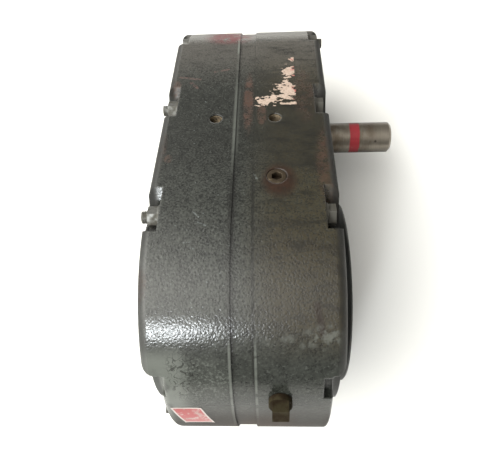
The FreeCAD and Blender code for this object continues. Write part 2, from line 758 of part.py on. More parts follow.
def make_casing_half(side):
    body = new_body(f"casing_{SIDE_NAMES[side]}_half")
    shell = add_between(body, "Shell", teardrop(sized(0)), *span(side, sized(0), half_width))
    doc.recompute()

    def on_side(point):
        return abs(abs(point.x) - half_width.value) < 0.001

    round_edges(body, "SideRounding", shell, dim.edge_radius, on_side)
    remove_between(body, "Cavity", teardrop(dim.wall_thickness), *span(side, sized(0), cavity_side))
    add_end_recess(body, side)

    input_boss = seal_boss_face if side > 0 else cap_boss_face
    bearings = (
        ("Output", OUTPUT_AXIS, dim.output_bearing_outside, output_bearing_inner, cover_seat),
        ("Shaft", SHAFT_AXIS, dim.shaft_bearing_outside, shaft_bearing_inner, cap_boss_face),
        ("Input", INPUT_AXIS, dim.input_bearing_outside, input_bearing_inner, input_boss),
    )
    for name, axis, outside, inner, face in bearings:
        boss = circles([axis], half(outside) + dim.boss_wall)
        add_between(body, f"{name}Boss", boss, *span(side, inner, face))
    cover_boss = circles([OUTPUT_AXIS], dim.cover_radius + dim.cover_boss_margin)
    add_between(body, "CoverBoss", cover_boss, *span(side, cavity_side, cover_seat))
    columns = circles([place.at(dim.bolt_inset) for place in bolt_places + dowel_places], dim.column_radius)
    add_between(body, "BoltColumns", columns, *span(side, sized(0), cavity_side - dim.edge_radius))
    backing_inset = dim.backing_radius + dim.backing_cover
    backings = circles([place.at(backing_inset) for place in pocket_places], dim.backing_radius)
    add_between(body, "PocketBackings", backings, *span(side, cavity_side - dim.backing_depth, cavity_side))
    add_arm_boss(body, side)

    band = teardrop(-dim.edge_radius, dim.band_depth)
    remove_between(body, "Band", band, *span(side, sized(0), half(dim.band_width)))
    for name, axis, outside, inner, face in bearings:
        bore = circles([axis], half(outside))
        remove_between(body, f"{name}Bore", bore, *span(side, cavity_side - dim.output_bearing_width, face))
    pockets = circles([place.at(dim.bolt_inset) for place in bolt_places], dim.pocket_radius)
    remove_between(body, "BoltPockets", pockets, *span(side, pocket_floor, seal_boss_face))
    remove_between(body, "PocketMouths", pocket_mouths, *span(side, pocket_floor, seal_boss_face))
    bolt_hole = half(dim.bolt_diameter) + dim.bolt_hole_gap
    holes = circles([place.at(dim.bolt_inset) for place in bolt_places], bolt_hole)
    remove_between(body, "BoltHoles", holes, *span(side, sized(0), half_width))
    dowel_hole = half(dim.dowel_diameter) + dim.fit_gap
    dowels = circles([place.at(dim.bolt_inset) for place in dowel_places], dowel_hole)
    remove_between(body, "DowelHoles", dowels, *span(side, sized(0), dim.dowel_depth))
    screw_hole = half(dim.cover_screw_diameter) + dim.fit_gap
    screws = circles(circle_points(COVER_SCREW_COUNT, cover_screw_circle), screw_hole)
    screw_end = cover_seat - dim.cover_screw_depth
    remove_between(body, "CoverScrewHoles", screws, *span(side, screw_end, cover_seat))
    if side > 0:
        add_plug_holes(body)
    return node(body)


def make_casing_fasteners():
    centres = [place.at(dim.bolt_inset) for place in bolt_places]
    shank = half(dim.bolt_diameter)
    seat = pocket_floor + dim.washer_thickness
    bolts = node(new_body("casing_bolts", many=True))
    nuts = node(new_body("casing_nuts", many=True))
    tip = half_width + dim.bolt_proud
    for side, places in ((1, forward_places + [near_place]), (-1, [far_place])):
        name = SIDE_NAMES[side]
        points = [place.at(dim.bolt_inset) for place in places]
        hexagon = hexagons(points, dim.bolt_across_flats)
        add_between(bolts, f"Shanks{name}", circles(points, shank), *span(side, -tip, seat))
        add_between(bolts, f"Heads{name}", hexagon, *span(side, seat, seat + dim.bolt_head_height))
        low, high = span(-side, seat, seat + dim.nut_height)
        add_between(nuts, f"Blanks{name}", hexagon, low, high)
        remove_between(nuts, f"Threads{name}", circles(points, shank + dim.fit_gap), low, high)
    washers = node(new_body("casing_washers", many=True))
    for side in (1, -1):
        ring = rings(centres, shank + dim.bolt_hole_gap, dim.washer_radius)
        add_between(washers, f"Rings{SIDE_NAMES[side]}", ring, *span(side, pocket_floor, seat))
    pins = node(new_body("dowel_pins", many=True))
    pin_centres = [place.at(dim.bolt_inset) for place in dowel_places]
    end = dim.dowel_depth - dim.screw_hole_gap
    add_between(pins, "Pins", circles(pin_centres, half(dim.dowel_diameter)), -end, end)


def make_output_closure(side):
    """Cover, gasket and seal of one end of the output hub."""
    name = SIDE_NAMES[side]
    seal_bore = half(dim.output_seal_outside)
    spigot = output_bore - dim.fit_gap
    lip_start = output_bearing_outer + dim.lip_gap
    seal_start = output_bearing_outer + dim.cover_lip
    lip_bore = hub_seat + dim.seal_section
    cover = turned_body(f"output_cover_{name}", [
        (lip_start, lip_bore),
        (seal_start, lip_bore),
        (seal_start, seal_bore),
        (cover_front, seal_bore),
        (cover_front, dim.cover_radius - dim.cover_chamfer),
        (cover_front - dim.cover_chamfer, dim.cover_radius),
        (cover_back, dim.cover_radius),
        (cover_back, spigot),
        (lip_start, spigot),
    ], side=side)
    centres = circle_points(COVER_SCREW_COUNT, cover_screw_circle)
    sink = circles(centres, dim.cover_screw_head_radius + dim.screw_hole_gap)
    remove_between(cover, "HeadSinks", sink, *span(side, cover_front - dim.cover_screw_sink, cover_front))
    hole = circles(centres, half(dim.cover_screw_diameter) + dim.screw_hole_gap)
    remove_between(cover, "ScrewHoles", hole, *span(side, cover_back, cover_front))
    node(cover)
    gasket_name = f"output_cover_gasket_{name}"
    gasket = turned_ring(gasket_name, cover_seat, cover_back, output_bore, dim.cover_radius, side=side)
    remove_between(gasket, "GasketHoles", hole, *span(side, cover_seat, cover_back))
    node(gasket)
    seal_end = seal_start + dim.output_seal_width
    groove = dim.seal_section
    seal = turned_body(f"output_seal_{name}", [
        (seal_start, hub_seat + dim.lip_gap),
        (seal_end, hub_seat + dim.lip_gap),
        (seal_end, hub_seat + groove),
        (seal_end - groove, hub_seat + groove * 2),
        (seal_end - groove, seal_bore - groove),
        (seal_end, seal_bore - groove),
        (seal_end, seal_bore - dim.fit_gap),
        (seal_start, seal_bore - dim.fit_gap),
    ], side=side)
    node(seal)


def make_cover_screws():
    screws = node(new_body("output_cover_screws", many=True))
    centres = circle_points(COVER_SCREW_COUNT, cover_screw_circle)
    seat = cover_front - dim.cover_screw_sink
    tip = cover_seat - dim.cover_screw_depth + dim.screw_hole_gap
    top = seat + dim.cover_screw_head
    for side in (1, -1):
        name = SIDE_NAMES[side]
        shank = circles(centres, half(dim.cover_screw_diameter))
        add_between(screws, f"Shanks{name}", shank, *span(side, tip, seat))
        head = circles(centres, dim.cover_screw_head_radius)
        add_between(screws, f"Heads{name}", head, *span(side, seat, top))
        socket = hexagons(centres, dim.cover_screw_head_radius)
        remove_between(screws, f"Sockets{name}", socket, *span(side, top - dim.cover_screw_head / 2, top))


def make_input_seal():
    low = shaft_bearing_outer + dim.cover_lip
    high = low + dim.input_seal_width
    groove = dim.seal_section
    outside = half(dim.input_bearing_outside) - dim.fit_gap
    node(turned_body("input_seal", [
        (low, input_seat + dim.lip_gap),
        (high, input_seat + dim.lip_gap),
        (high, input_seat + groove),
        (high - groove, input_seat + groove * 2),
        (high - groove, outside - groove),
        (high, outside - groove),
        (high, outside),
        (low, outside),
    ], INPUT_AXIS))


def make_end_cap(label, axis, outside, side):
    """A dished cap pressed into a bearing bore that no shaft leaves."""
    radius = half(outside) - dim.fit_gap
    high = cap_boss_face - dim.screw_hole_gap
    low = high - dim.cap_thickness
    rim = radius - dim.seal_section
    node(turned_body(label, [
        (low, sized(0)),
        (low, radius),
        (high, radius),
        (high, rim),
        (low + half(dim.cap_thickness), rim - dim.seal_section),
        (low + half(dim.cap_thickness), sized(0)),
    ], axis, side))


def make_bearing(label, axis, bore, outside, width, inner, side):
    """A roller bearing: a grooved outer ring, a plain inner ring and the rollers between them."""
    section = half(outside - bore)
    ring = section * dim.ring_share
    outer_race = half(outside) - ring
    inner_race = half(bore) + ring
    lip = width * dim.ring_share / 2
    outer = inner + width
    lip_bore = outer_race - ring / 2
    node(turned_body(f"{label}_outer_ring", [
        (inner, lip_bore),
        (inner + lip, lip_bore),
        (inner + lip, outer_race),
        (outer - lip, outer_race),
        (outer - lip, lip_bore),
        (outer, lip_bore),
        (outer, half(outside) - dim.fit_gap),
        (inner, half(outside) - dim.fit_gap),
    ], axis, side))
    node(turned_ring(f"{label}_inner_ring", inner, outer, half(bore) + dim.fit_gap, inner_race, axis, side))
    rollers = node(new_body(f"{label}_rollers", axis, many=True))
    roller = half(outer_race - inner_race) - dim.roller_gap
    roller_circle = half(outer_race + inner_race)
    count = int(math.pi * (roller_circle / (roller * dim.roller_spacing)).value)
    centres = circle_points(count, roller_circle)
    low = inner + lip + dim.roller_gap
    high = outer - lip - dim.roller_gap
    add_between(rollers, "Rollers", circles(centres, roller), *span(side, low, high))


def make_output_hub():
    """The hollow hub that the gear drives, with a taper in each end for its bush."""
    hub = turned_body("output_hub", [
        (-hub_end, bush_large),
        (-hub_end, hub_seat),
        (-output_bearing_inner, hub_seat),
        (-output_bearing_inner, hub_shoulder),
        (gear_right, hub_shoulder),
        (gear_right, hub_flange),
        (gear_right + dim.stage_gap, hub_flange),
        (gear_right + dim.stage_gap, hub_shoulder),
        (output_bearing_inner, hub_shoulder),
        (output_bearing_inner, hub_seat),
        (hub_end, hub_seat),
        (hub_end, bush_large),
        (bush_inner_end, bush_small),
        (-bush_inner_end, bush_small),
    ])
    key_low, key_high = output_key_span()
    top = hub_shoulder + dim.output_key_height
    slot = rectangle((key_low, -half(dim.output_key_width)), (key_high, half(dim.output_key_width)))
    remove_between(hub, "Keyway", slot, hub_shoulder - half(dim.output_key_height), top, "XY_Plane")
    screw_hole = half(dim.bush_screw_diameter) + dim.fit_gap
    holes = circles(circle_points(BUSH_SCREW_COUNT, bush_screw_circle), screw_hole)
    for side in (1, -1):
        depth = hub_end - dim.bush_screw_depth - dim.bush_screw_head
        remove_between(hub, f"ScrewHoles{SIDE_NAMES[side]}", holes, *span(side, depth, hub_end))
    node(hub)


def output_key_span():
    return gear_left + dim.key_end_gap, gear_right - dim.key_end_gap


def shaft_key_span():
    return dim.stage_gap + dim.key_end_gap, input_gear_end - dim.key_end_gap


def make_key(label, axis, stations, width, height, seat):
    """A parallel key on the top of its shaft, sunk by half its height."""
    key = doc.addObject("Part::Box", label)
    key.Label = label
    low, high = stations
    key.setExpression("Length", (high - low).text)
    key.setExpression("Width", (width - dim.fit_gap * 2).text)
    key.setExpression("Height", (height - dim.fit_gap * 2).text)
    corner = (low, axis[0] - half(width) + dim.fit_gap, axis[1] + seat - half(height) + dim.fit_gap)
    key.Placement = FreeCAD.Placement(Vector(*[part.value for part in corner]), FreeCAD.Rotation())
    for letter, part in zip("xyz", corner):
        key.setExpression(f"Placement.Base.{letter}", part.text)
    node(key)


def make_bush(side):
    """A split tapered bush with a flange, pulled into the hub by its screws."""
    bush = turned_body(f"bush_{SIDE_NAMES[side]}", [
        (bush_inner_end, bore_radius),
        (bush_inner_end, bush_small - dim.fit_gap),
        (hub_end, bush_large - dim.fit_gap),
        (hub_end, dim.bush_flange_radius),
        (bush_face, dim.bush_flange_radius),
        (bush_face, bore_radius),
    ], side=side)
    low, high = span(side, bush_inner_end - dim.bush_wall, bush_face + dim.bush_wall)
    slit = rectangle((low, -half(dim.bush_slit)), (high, half(dim.bush_slit)))
    remove_between(bush, "Slit", slit, -(dim.bush_flange_radius + dim.bush_wall), sized(0), "XY_Plane")
    keyway = rectangle((low, -half(dim.output_key_width)), (high, half(dim.output_key_width)))
    remove_between(bush, "BoreKeyway", keyway, sized(0), bore_radius + dim.bore_keyway_depth, "XY_Plane")
    screw_hole = half(dim.bush_screw_diameter) + dim.screw_hole_gap
    holes = circles(circle_points(BUSH_SCREW_COUNT, bush_screw_circle), screw_hole)
    remove_between(bush, "ScrewHoles", holes, *span(side, hub_end, bush_face))
    node(bush)


def make_bush_screws():
    screws = node(new_body("bush_screws", many=True))
    centres = circle_points(BUSH_SCREW_COUNT, bush_screw_circle)
    for side in (1, -1):
        name = SIDE_NAMES[side]
        shank = circles(centres, half(dim.bush_screw_diameter))
        add_between(screws, f"Shanks{name}", shank, *span(side, hub_end - dim.bush_screw_depth, bush_face))
        head = hexagons(centres, dim.bush_screw_flats)
        add_between(screws, f"Heads{name}", head, *span(side, bush_face, bush_face + dim.bush_screw_head))


def tooth_ring(module, teeth, station, twist, phase):
    """The outline of a gear at one station: straight chords of involute flanks, as a closed wire."""
    angle = math.radians(dim.pressure_angle.value)
    pitch = pitch_radius(module, teeth).value
    base = pitch * math.cos(angle)
    radii = (root_radius(module, teeth).value, pitch, tip_radius(module, teeth).value)
    half_tooth = math.pi / (2 * teeth) - dim.tooth_thinning.value / (2 * pitch)

    def half_angle(radius):
        reach = math.sqrt(max((radius / base) ** 2 - 1, 0))
        return half_tooth + math.tan(angle) - angle - reach + math.atan(reach)

    flank = [(radius, half_angle(radius)) for radius in radii]
    outline = [(radius, -turn) for radius, turn in flank] + list(reversed(flank))
    points = []
    for number in range(teeth):
        middle = phase + twist + 2 * math.pi * number / teeth
        for radius, turn in outline:
            points.append(Vector(station, radius * math.cos(middle + turn), radius * math.sin(middle + turn)))
    return Part.makePolygon(points + points[:1])


def helical_teeth(module, teeth, low, high, phase, hand):
    """A solid toothed blank, lofted between outlines that turn with the helix."""
    lead = math.tan(math.radians(dim.helix_angle.value)) / pitch_radius(module, teeth).value
    middle = (low.value + high.value) / 2
    outlines = []
    for number in range(TOOTH_STRETCHES + 1):
        station = low.value + (high.value - low.value) * number / TOOTH_STRETCHES
        outlines.append(tooth_ring(module, teeth, station, hand * lead * (station - middle), phase))
    return Part.makeLoft(outlines, True, True)


def cylinder_between(low, high, radius):
    return Part.makeCylinder(radius.value, (high - low).value, Vector(low.value, 0, 0), Vector(1, 0, 0))


def ring_between(low, high, inner, outer):
    return cylinder_between(low, high, outer).cut(cylinder_between(low, high, inner))


def key_slot(low, high, width, top):
    corner = Vector(low.value, -width.value / 2, 0)
    return Part.makeBox((high - low).value, width.value, top.value, corner)


def toothed_feature(label, axis, shape):
    feature = doc.addObject("Part::Feature", label)
    feature.Label = label
    feature.Shape = shape
    placed(feature, axis)
    return feature


def webbed_gear(teeth_solid, low, high, seat, root):
    """The gear's blank with a thin web on both sides between its hub and its rim."""
    hub = seat + dim.gear_hub_wall
    rim = root - dim.gear_rim
    for start in (low, high - dim.gear_web_depth):
        teeth_solid = teeth_solid.cut(ring_between(start, start + dim.gear_web_depth, hub, rim))
    return teeth_solid


# Each gear has a tooth, and each pinion a gap, on the line of centres.
MESH_LINE = -math.radians(dim.train_angle.value)


def make_output_gear():
    shape = helical_teeth(dim.output_module, OUTPUT_GEAR_TEETH, gear_left, gear_right, MESH_LINE, 1)
    root = root_radius(dim.output_module, OUTPUT_GEAR_TEETH)
    shape = webbed_gear(shape, gear_left, gear_right, hub_shoulder, root)
    back = -output_bearing_inner
    shape = shape.fuse(cylinder_between(back, gear_left, hub_shoulder + dim.gear_hub_wall))
    shape = shape.cut(cylinder_between(back, gear_right, hub_shoulder + dim.fit_gap))
    slot_top = hub_shoulder + half(dim.output_key_height)
    shape = shape.cut(key_slot(back, gear_right, dim.output_key_width, slot_top))
    node(toothed_feature("output_gear", OUTPUT_AXIS, shape))


def make_intermediate_gear():
    low = dim.stage_gap
    shape = helical_teeth(dim.input_module, INPUT_GEAR_TEETH, low, input_gear_end, MESH_LINE, -1)
    root = root_radius(dim.input_module, INPUT_GEAR_TEETH)
    shape = webbed_gear(shape, low, input_gear_end, gear_seat, root)
    shape = shape.cut(cylinder_between(low, input_gear_end, gear_seat + dim.fit_gap))
    slot_top = gear_seat + half(dim.shaft_key_height)
    shape = shape.cut(key_slot(low, input_gear_end, dim.shaft_key_width, slot_top))
    node(toothed_feature("intermediate_gear", SHAFT_AXIS, shape))


def pinion_phase(teeth):
    return MESH_LINE + math.pi - math.pi / teeth


def make_pinion_shaft(label, axis, blank, teeth_solid):
    """A shaft with the pinion cut in one piece with it."""
    teeth = toothed_feature(f"{label}_teeth", axis, teeth_solid)
    shaft = doc.addObject("Part::Fuse", label)
    shaft.Label = label
    shaft.Base = blank
    shaft.Tool = teeth
    node(shaft)


def make_intermediate_shaft():
    low = gear_left - dim.pinion_overhang
    high = gear_right + dim.pinion_overhang
    core = root_radius(dim.output_module, OUTPUT_PINION_TEETH) - dim.pinion_overhang
    blank = turned_body("intermediate_shaft_blank", [
        (-shaft_bearing_outer, sized(0)),
        (-shaft_bearing_outer, shaft_seat),
        (-shaft_bearing_inner, shaft_seat),
        (-shaft_bearing_inner, gear_seat),
        (low, gear_seat),
        (low, core),
        (high, core),
        (high, gear_seat + dim.collar_height),
        (dim.stage_gap, gear_seat + dim.collar_height),
        (dim.stage_gap, gear_seat),
        (shaft_bearing_inner - dim.key_end_gap, gear_seat),
        (shaft_bearing_inner - dim.key_end_gap, shaft_seat),
        (shaft_bearing_outer, shaft_seat),
        (shaft_bearing_outer, sized(0)),
    ], SHAFT_AXIS)
    key_low, key_high = shaft_key_span()
    slot = rectangle((key_low, -half(dim.shaft_key_width)), (key_high, half(dim.shaft_key_width)))
    key_floor = gear_seat - half(dim.shaft_key_height)
    remove_between(blank, "Keyway", slot, key_floor, gear_seat + dim.shaft_key_height, "XY_Plane")
    phase = pinion_phase(OUTPUT_PINION_TEETH)
    teeth = helical_teeth(dim.output_module, OUTPUT_PINION_TEETH, low, high, phase, -1)
    make_pinion_shaft("intermediate_pinion_shaft", SHAFT_AXIS, blank, teeth)
    spacer_bore = gear_seat + dim.fit_gap
    node(turned_ring("intermediate_spacer", input_gear_end, shaft_bearing_inner, spacer_bore,
                     spacer_bore + dim.shaft_collar, SHAFT_AXIS))


def make_input_shaft():
    low = dim.stage_gap - dim.pinion_overhang
    high = input_gear_end + dim.pinion_overhang
    neck = root_radius(dim.input_module, INPUT_PINION_TEETH) - dim.pinion_overhang / 2
    step = seal_boss_face + dim.cover_lip / 2
    end = step + dim.input_shaft_length
    chamfer = dim.input_shaft_chamfer
    blank = turned_body("input_shaft_blank", [
        (-shaft_bearing_outer, sized(0)),
        (-shaft_bearing_outer, input_seat),
        (-input_bearing_inner, input_seat),
        (-input_bearing_inner, input_shoulder),
        (-input_bearing_inner + dim.shaft_collar, input_shoulder),
        (-input_bearing_inner + dim.shaft_collar, neck),
        (input_bearing_inner - dim.shaft_collar, neck),
        (input_bearing_inner - dim.shaft_collar, input_shoulder),
        (input_bearing_inner, input_shoulder),
        (input_bearing_inner, input_seat),
        (step, input_seat),
        (step, input_radius),
        (end - chamfer, input_radius),
        (end, input_radius - chamfer),
        (end, sized(0)),
    ], INPUT_AXIS)
    turn = dim.input_keyway_turn
    floor = input_radius - dim.input_keyway_depth
    keyway = leaning_sketch(blank, "KeywaySketch", (floor * sine(turn), -(floor * cosine(turn))), turn)
    side = half(dim.input_keyway_width)
    keyway_high = end - dim.shoulder_height
    draw_rectangle(keyway, (keyway_high - dim.input_keyway_length, -side), (keyway_high, side))
    remove(blank, "Keyway", keyway, dim.input_keyway_depth * 2)
    phase = pinion_phase(INPUT_PINION_TEETH)
    teeth = helical_teeth(dim.input_module, INPUT_PINION_TEETH, low, high, phase, 1)
    make_pinion_shaft("input_pinion_shaft", INPUT_AXIS, blank, teeth)


def make_filler_plug():
    """A flush plug with a hexagon socket."""
    plug = node(new_body("filler_plug"))
    centre = (dim.filler_offset, sized(0))
    blank = leaning_sketch(plug, "BlankSketch", filler_place.at(sized(0)), edge_lean)
    draw_circle(blank, centre, half(dim.filler_diameter) - dim.fit_gap)
    disc = add(plug, "Blank", blank, dim.filler_length, backwards=True)
    doc.recompute()
    faces = [
        f"Face{number}"
        for number, face in enumerate(disc.Shape.Faces, start=1)
        if isinstance(face.Surface, Part.Plane)
    ]
    rims = plug.newObject("PartDesign::Chamfer", "Rims")
    rims.Base = (disc, faces)
    rims.setExpression("Size", dim.filler_chamfer.text)
    socket = leaning_sketch(plug, "SocketSketch", filler_place.at(sized(0)), edge_lean)
    draw_hexagon(socket, centre, dim.filler_socket)
    remove(plug, "Socket", socket, dim.filler_socket_depth)


def make_drain_plug():
    """A plug with a round collar and a square head."""
    plug = node(new_body("drain_plug"))
    centre = (dim.drain_offset, sized(0))
    seat = drain_place.at(sized(0))
    thread = leaning_sketch(plug, "ThreadSketch", seat, drain_lean)
    draw_circle(thread, centre, half(dim.drain_diameter) - dim.fit_gap)
    add(plug, "Thread", thread, dim.drain_length, backwards=True)
    collar = leaning_sketch(plug, "CollarSketch", seat, drain_lean)
    draw_circle(collar, centre, half(dim.drain_collar_diameter))
    add(plug, "Collar", collar, dim.drain_collar_height)
    head = leaning_sketch(plug, "HeadSketch", drain_place.at(-dim.drain_collar_height), drain_lean)
    side = half(dim.drain_square)
    draw_rectangle(head, (dim.drain_offset - side, -side), (dim.drain_offset + side, side))
    add(plug, "Head", head, dim.drain_square_height)


def check_document():
    """Stop before anything is written if a feature failed or a piece has no sound solid."""
    for item in doc.Objects:
        if "Invalid" in item.State or "Error" in item.State:
            raise RuntimeError(f"{item.Label} failed: {item.State}")
    for piece in nodes:
        if piece.Shape.isNull() or not piece.Shape.isValid() or not piece.Shape.Solids:
            raise RuntimeError(f"{piece.Label} has no sound solid")


def main():
    for side in (1, -1):
        name = SIDE_NAMES[side]
        make_casing_half(side)
        make_output_closure(side)
        make_bush(side)
        make_end_cap(f"intermediate_cap_{name}", SHAFT_AXIS, dim.shaft_bearing_outside, side)
        make_bearing(f"output_bearing_{name}", OUTPUT_AXIS, dim.output_bearing_bore,
                     dim.output_bearing_outside, dim.output_bearing_width, output_bearing_inner, side)
        make_bearing(f"intermediate_bearing_{name}", SHAFT_AXIS, dim.shaft_bearing_bore,
                     dim.shaft_bearing_outside, dim.shaft_bearing_width, shaft_bearing_inner, side)
        make_bearing(f"input_bearing_{name}", INPUT_AXIS, dim.input_bearing_bore,
                     dim.input_bearing_outside, dim.input_bearing_width, input_bearing_inner, side)
    make_end_cap("input_cap", INPUT_AXIS, dim.input_bearing_outside, -1)
    make_casing_fasteners()
    make_cover_screws()
    make_input_seal()
    make_filler_plug()
    make_drain_plug()
    make_output_hub()
    make_output_gear()
    make_key("output_gear_key", OUTPUT_AXIS, output_key_span(), dim.output_key_width, dim.output_key_height,
             hub_shoulder)
    make_bush_screws()
    make_intermediate_shaft()
    make_intermediate_gear()
    make_key("intermediate_gear_key", SHAFT_AXIS, shaft_key_span(), dim.shaft_key_width, dim.shaft_key_height,
             gear_seat)
    make_input_shaft()
    doc.recompute()
    check_document()
    os.makedirs("parts", exist_ok=True)
    for piece in nodes:
        piece.Shape.exportStep(f"parts/{piece.Label}.step")


main()
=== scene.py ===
import json
import math
from functools import reduce

import bmesh
import bpy
from bpy.props import FloatProperty, FloatVectorProperty, IntProperty, PointerProperty
from mathutils import Matrix, Vector, noise


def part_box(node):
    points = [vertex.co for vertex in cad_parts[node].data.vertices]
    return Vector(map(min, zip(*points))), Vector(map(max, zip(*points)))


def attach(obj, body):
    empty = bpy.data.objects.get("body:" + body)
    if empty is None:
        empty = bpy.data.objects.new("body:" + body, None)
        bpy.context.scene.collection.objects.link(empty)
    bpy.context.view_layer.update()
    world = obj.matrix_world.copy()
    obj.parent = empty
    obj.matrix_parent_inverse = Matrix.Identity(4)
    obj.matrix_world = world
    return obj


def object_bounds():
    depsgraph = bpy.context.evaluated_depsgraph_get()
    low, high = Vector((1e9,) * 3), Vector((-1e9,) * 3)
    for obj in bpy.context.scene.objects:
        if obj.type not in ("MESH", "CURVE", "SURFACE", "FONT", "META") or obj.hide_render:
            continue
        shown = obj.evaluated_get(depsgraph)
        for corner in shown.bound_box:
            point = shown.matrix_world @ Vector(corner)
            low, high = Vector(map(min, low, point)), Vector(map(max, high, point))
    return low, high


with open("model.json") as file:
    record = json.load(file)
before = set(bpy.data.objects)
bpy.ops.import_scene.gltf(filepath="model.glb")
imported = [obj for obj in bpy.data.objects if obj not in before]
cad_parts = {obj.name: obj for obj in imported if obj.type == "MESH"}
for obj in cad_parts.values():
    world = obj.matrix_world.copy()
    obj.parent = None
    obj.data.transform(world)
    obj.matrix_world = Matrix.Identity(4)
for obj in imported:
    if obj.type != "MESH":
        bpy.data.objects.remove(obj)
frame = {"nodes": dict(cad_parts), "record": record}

bl_info = {
    "name": "Shaft mount reducer finish",
    "version": (1, 0, 0),
    "blender": (4, 5, 0),
    "location": "View3D > Sidebar > Reducer",
    "description": "Paints and dresses a used shaft mount reducer and sets its stage",
    "category": "Object",
}

CAD_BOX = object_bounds()
IMAGE_WIDTH_PX = 500
SENSOR_MM = 36.0

# The casing's outline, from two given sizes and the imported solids. The big end curves round the output bore.
CASING_LOW, CASING_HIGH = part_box("casing_left_half")
BIG_END_RADIUS = -CASING_LOW.z
SMALL_END_RADIUS = 0.095
BAND_HALF_WIDTH = 0.010
SMALL_END_Y = CASING_HIGH.y - SMALL_END_RADIUS
SMALL_END_Z = SMALL_END_RADIUS - BIG_END_RADIUS
END_CENTRES = math.hypot(SMALL_END_Y, SMALL_END_Z)
UPPER_LEAN = 2 * math.asin((BIG_END_RADIUS - SMALL_END_RADIUS) / END_CENTRES)
UPPER_NORMAL = Vector((0.0, math.sin(UPPER_LEAN), math.cos(UPPER_LEAN)))

CASING_NODES = ("casing_right_half", "casing_left_half")
COVER_NODES = ("output_cover_right", "output_cover_left")
CAP_NODES = ("intermediate_cap_right", "intermediate_cap_left", "input_cap")
CASING_FASTENER_NODES = ("casing_bolts", "casing_nuts", "casing_washers")
SCREW_NODES = ("output_cover_screws", "bush_screws", "dowel_pins")
SEAL_NODES = ("output_seal_right", "output_seal_left", "input_seal")
GASKET_NODES = ("output_cover_gasket_right", "output_cover_gasket_left")
HUB_NODES = ("output_hub", "bush_right", "bush_left")
GEAR_NODES = ("output_gear", "intermediate_gear", "intermediate_pinion_shaft", "output_gear_key",
              "intermediate_gear_key", "intermediate_spacer")
BEARING_NODES = tuple(name for name in frame["nodes"] if "_bearing_" in name)

# Where the input shaft's top faces, with painted shade on the flanks away from it, and where its pit is, as
# turns from the top towards the big end.
SHAFT_TOP_TURN = math.radians(27)
PIT_TURN = math.radians(42)
# Specular level of steel under dried oil.
OILY_SHINE = 0.1
# Rays that find edges and hollows at each point.
FINDER_RAYS = 6
# A thread's ridge: half its foot as a share of the pitch, and the share of its height left at its ends.
RIDGE_HALF_FOOT = 0.45
RIDGE_RUN_OUT = 0.1


class Wire:
    """A value that changes over a surface. Expressions on it add Math nodes."""

    def __init__(self, finish, socket):
        self.finish = finish
        self.socket = socket

    def maths(self, operation, *others):
        sockets = dict(enumerate((self, *others)))
        return self.finish.node("ShaderNodeMath", {"operation": operation}, sockets)

    def __add__(self, other):
        return self.maths("ADD", other)

    def __mul__(self, other):
        return self.maths("MULTIPLY", other)

    def __sub__(self, other):
        return self.maths("SUBTRACT", other)

    def __truediv__(self, other):
        return self.maths("DIVIDE", other)

    def __rsub__(self, other):
        return -self + other

    def __rtruediv__(self, other):
        return self.finish.node("ShaderNodeMath", {"operation": "DIVIDE"}, {0: other, 1: self})

    def __neg__(self):
        return self * -1.0

    def __abs__(self):
        return self.maths("ABSOLUTE")

    __radd__ = __add__
    __rmul__ = __mul__

    def or_more(self, other):
        return self.maths("MAXIMUM", other)

    def or_less(self, other):
        return self.maths("MINIMUM", other)

    def rising(self, low, high):
        """Goes smoothly from 0 at low to 1 at high."""
        settings = {"interpolation_type": "SMOOTHSTEP"}
        sockets = {"Value": self, "From Min": low, "From Max": high}
        return self.finish.node("ShaderNodeMapRange", settings, sockets)

    def falling(self, low, high):
        """Goes smoothly from 1 at low to 0 at high."""
        return 1.0 - self.rising(low, high)


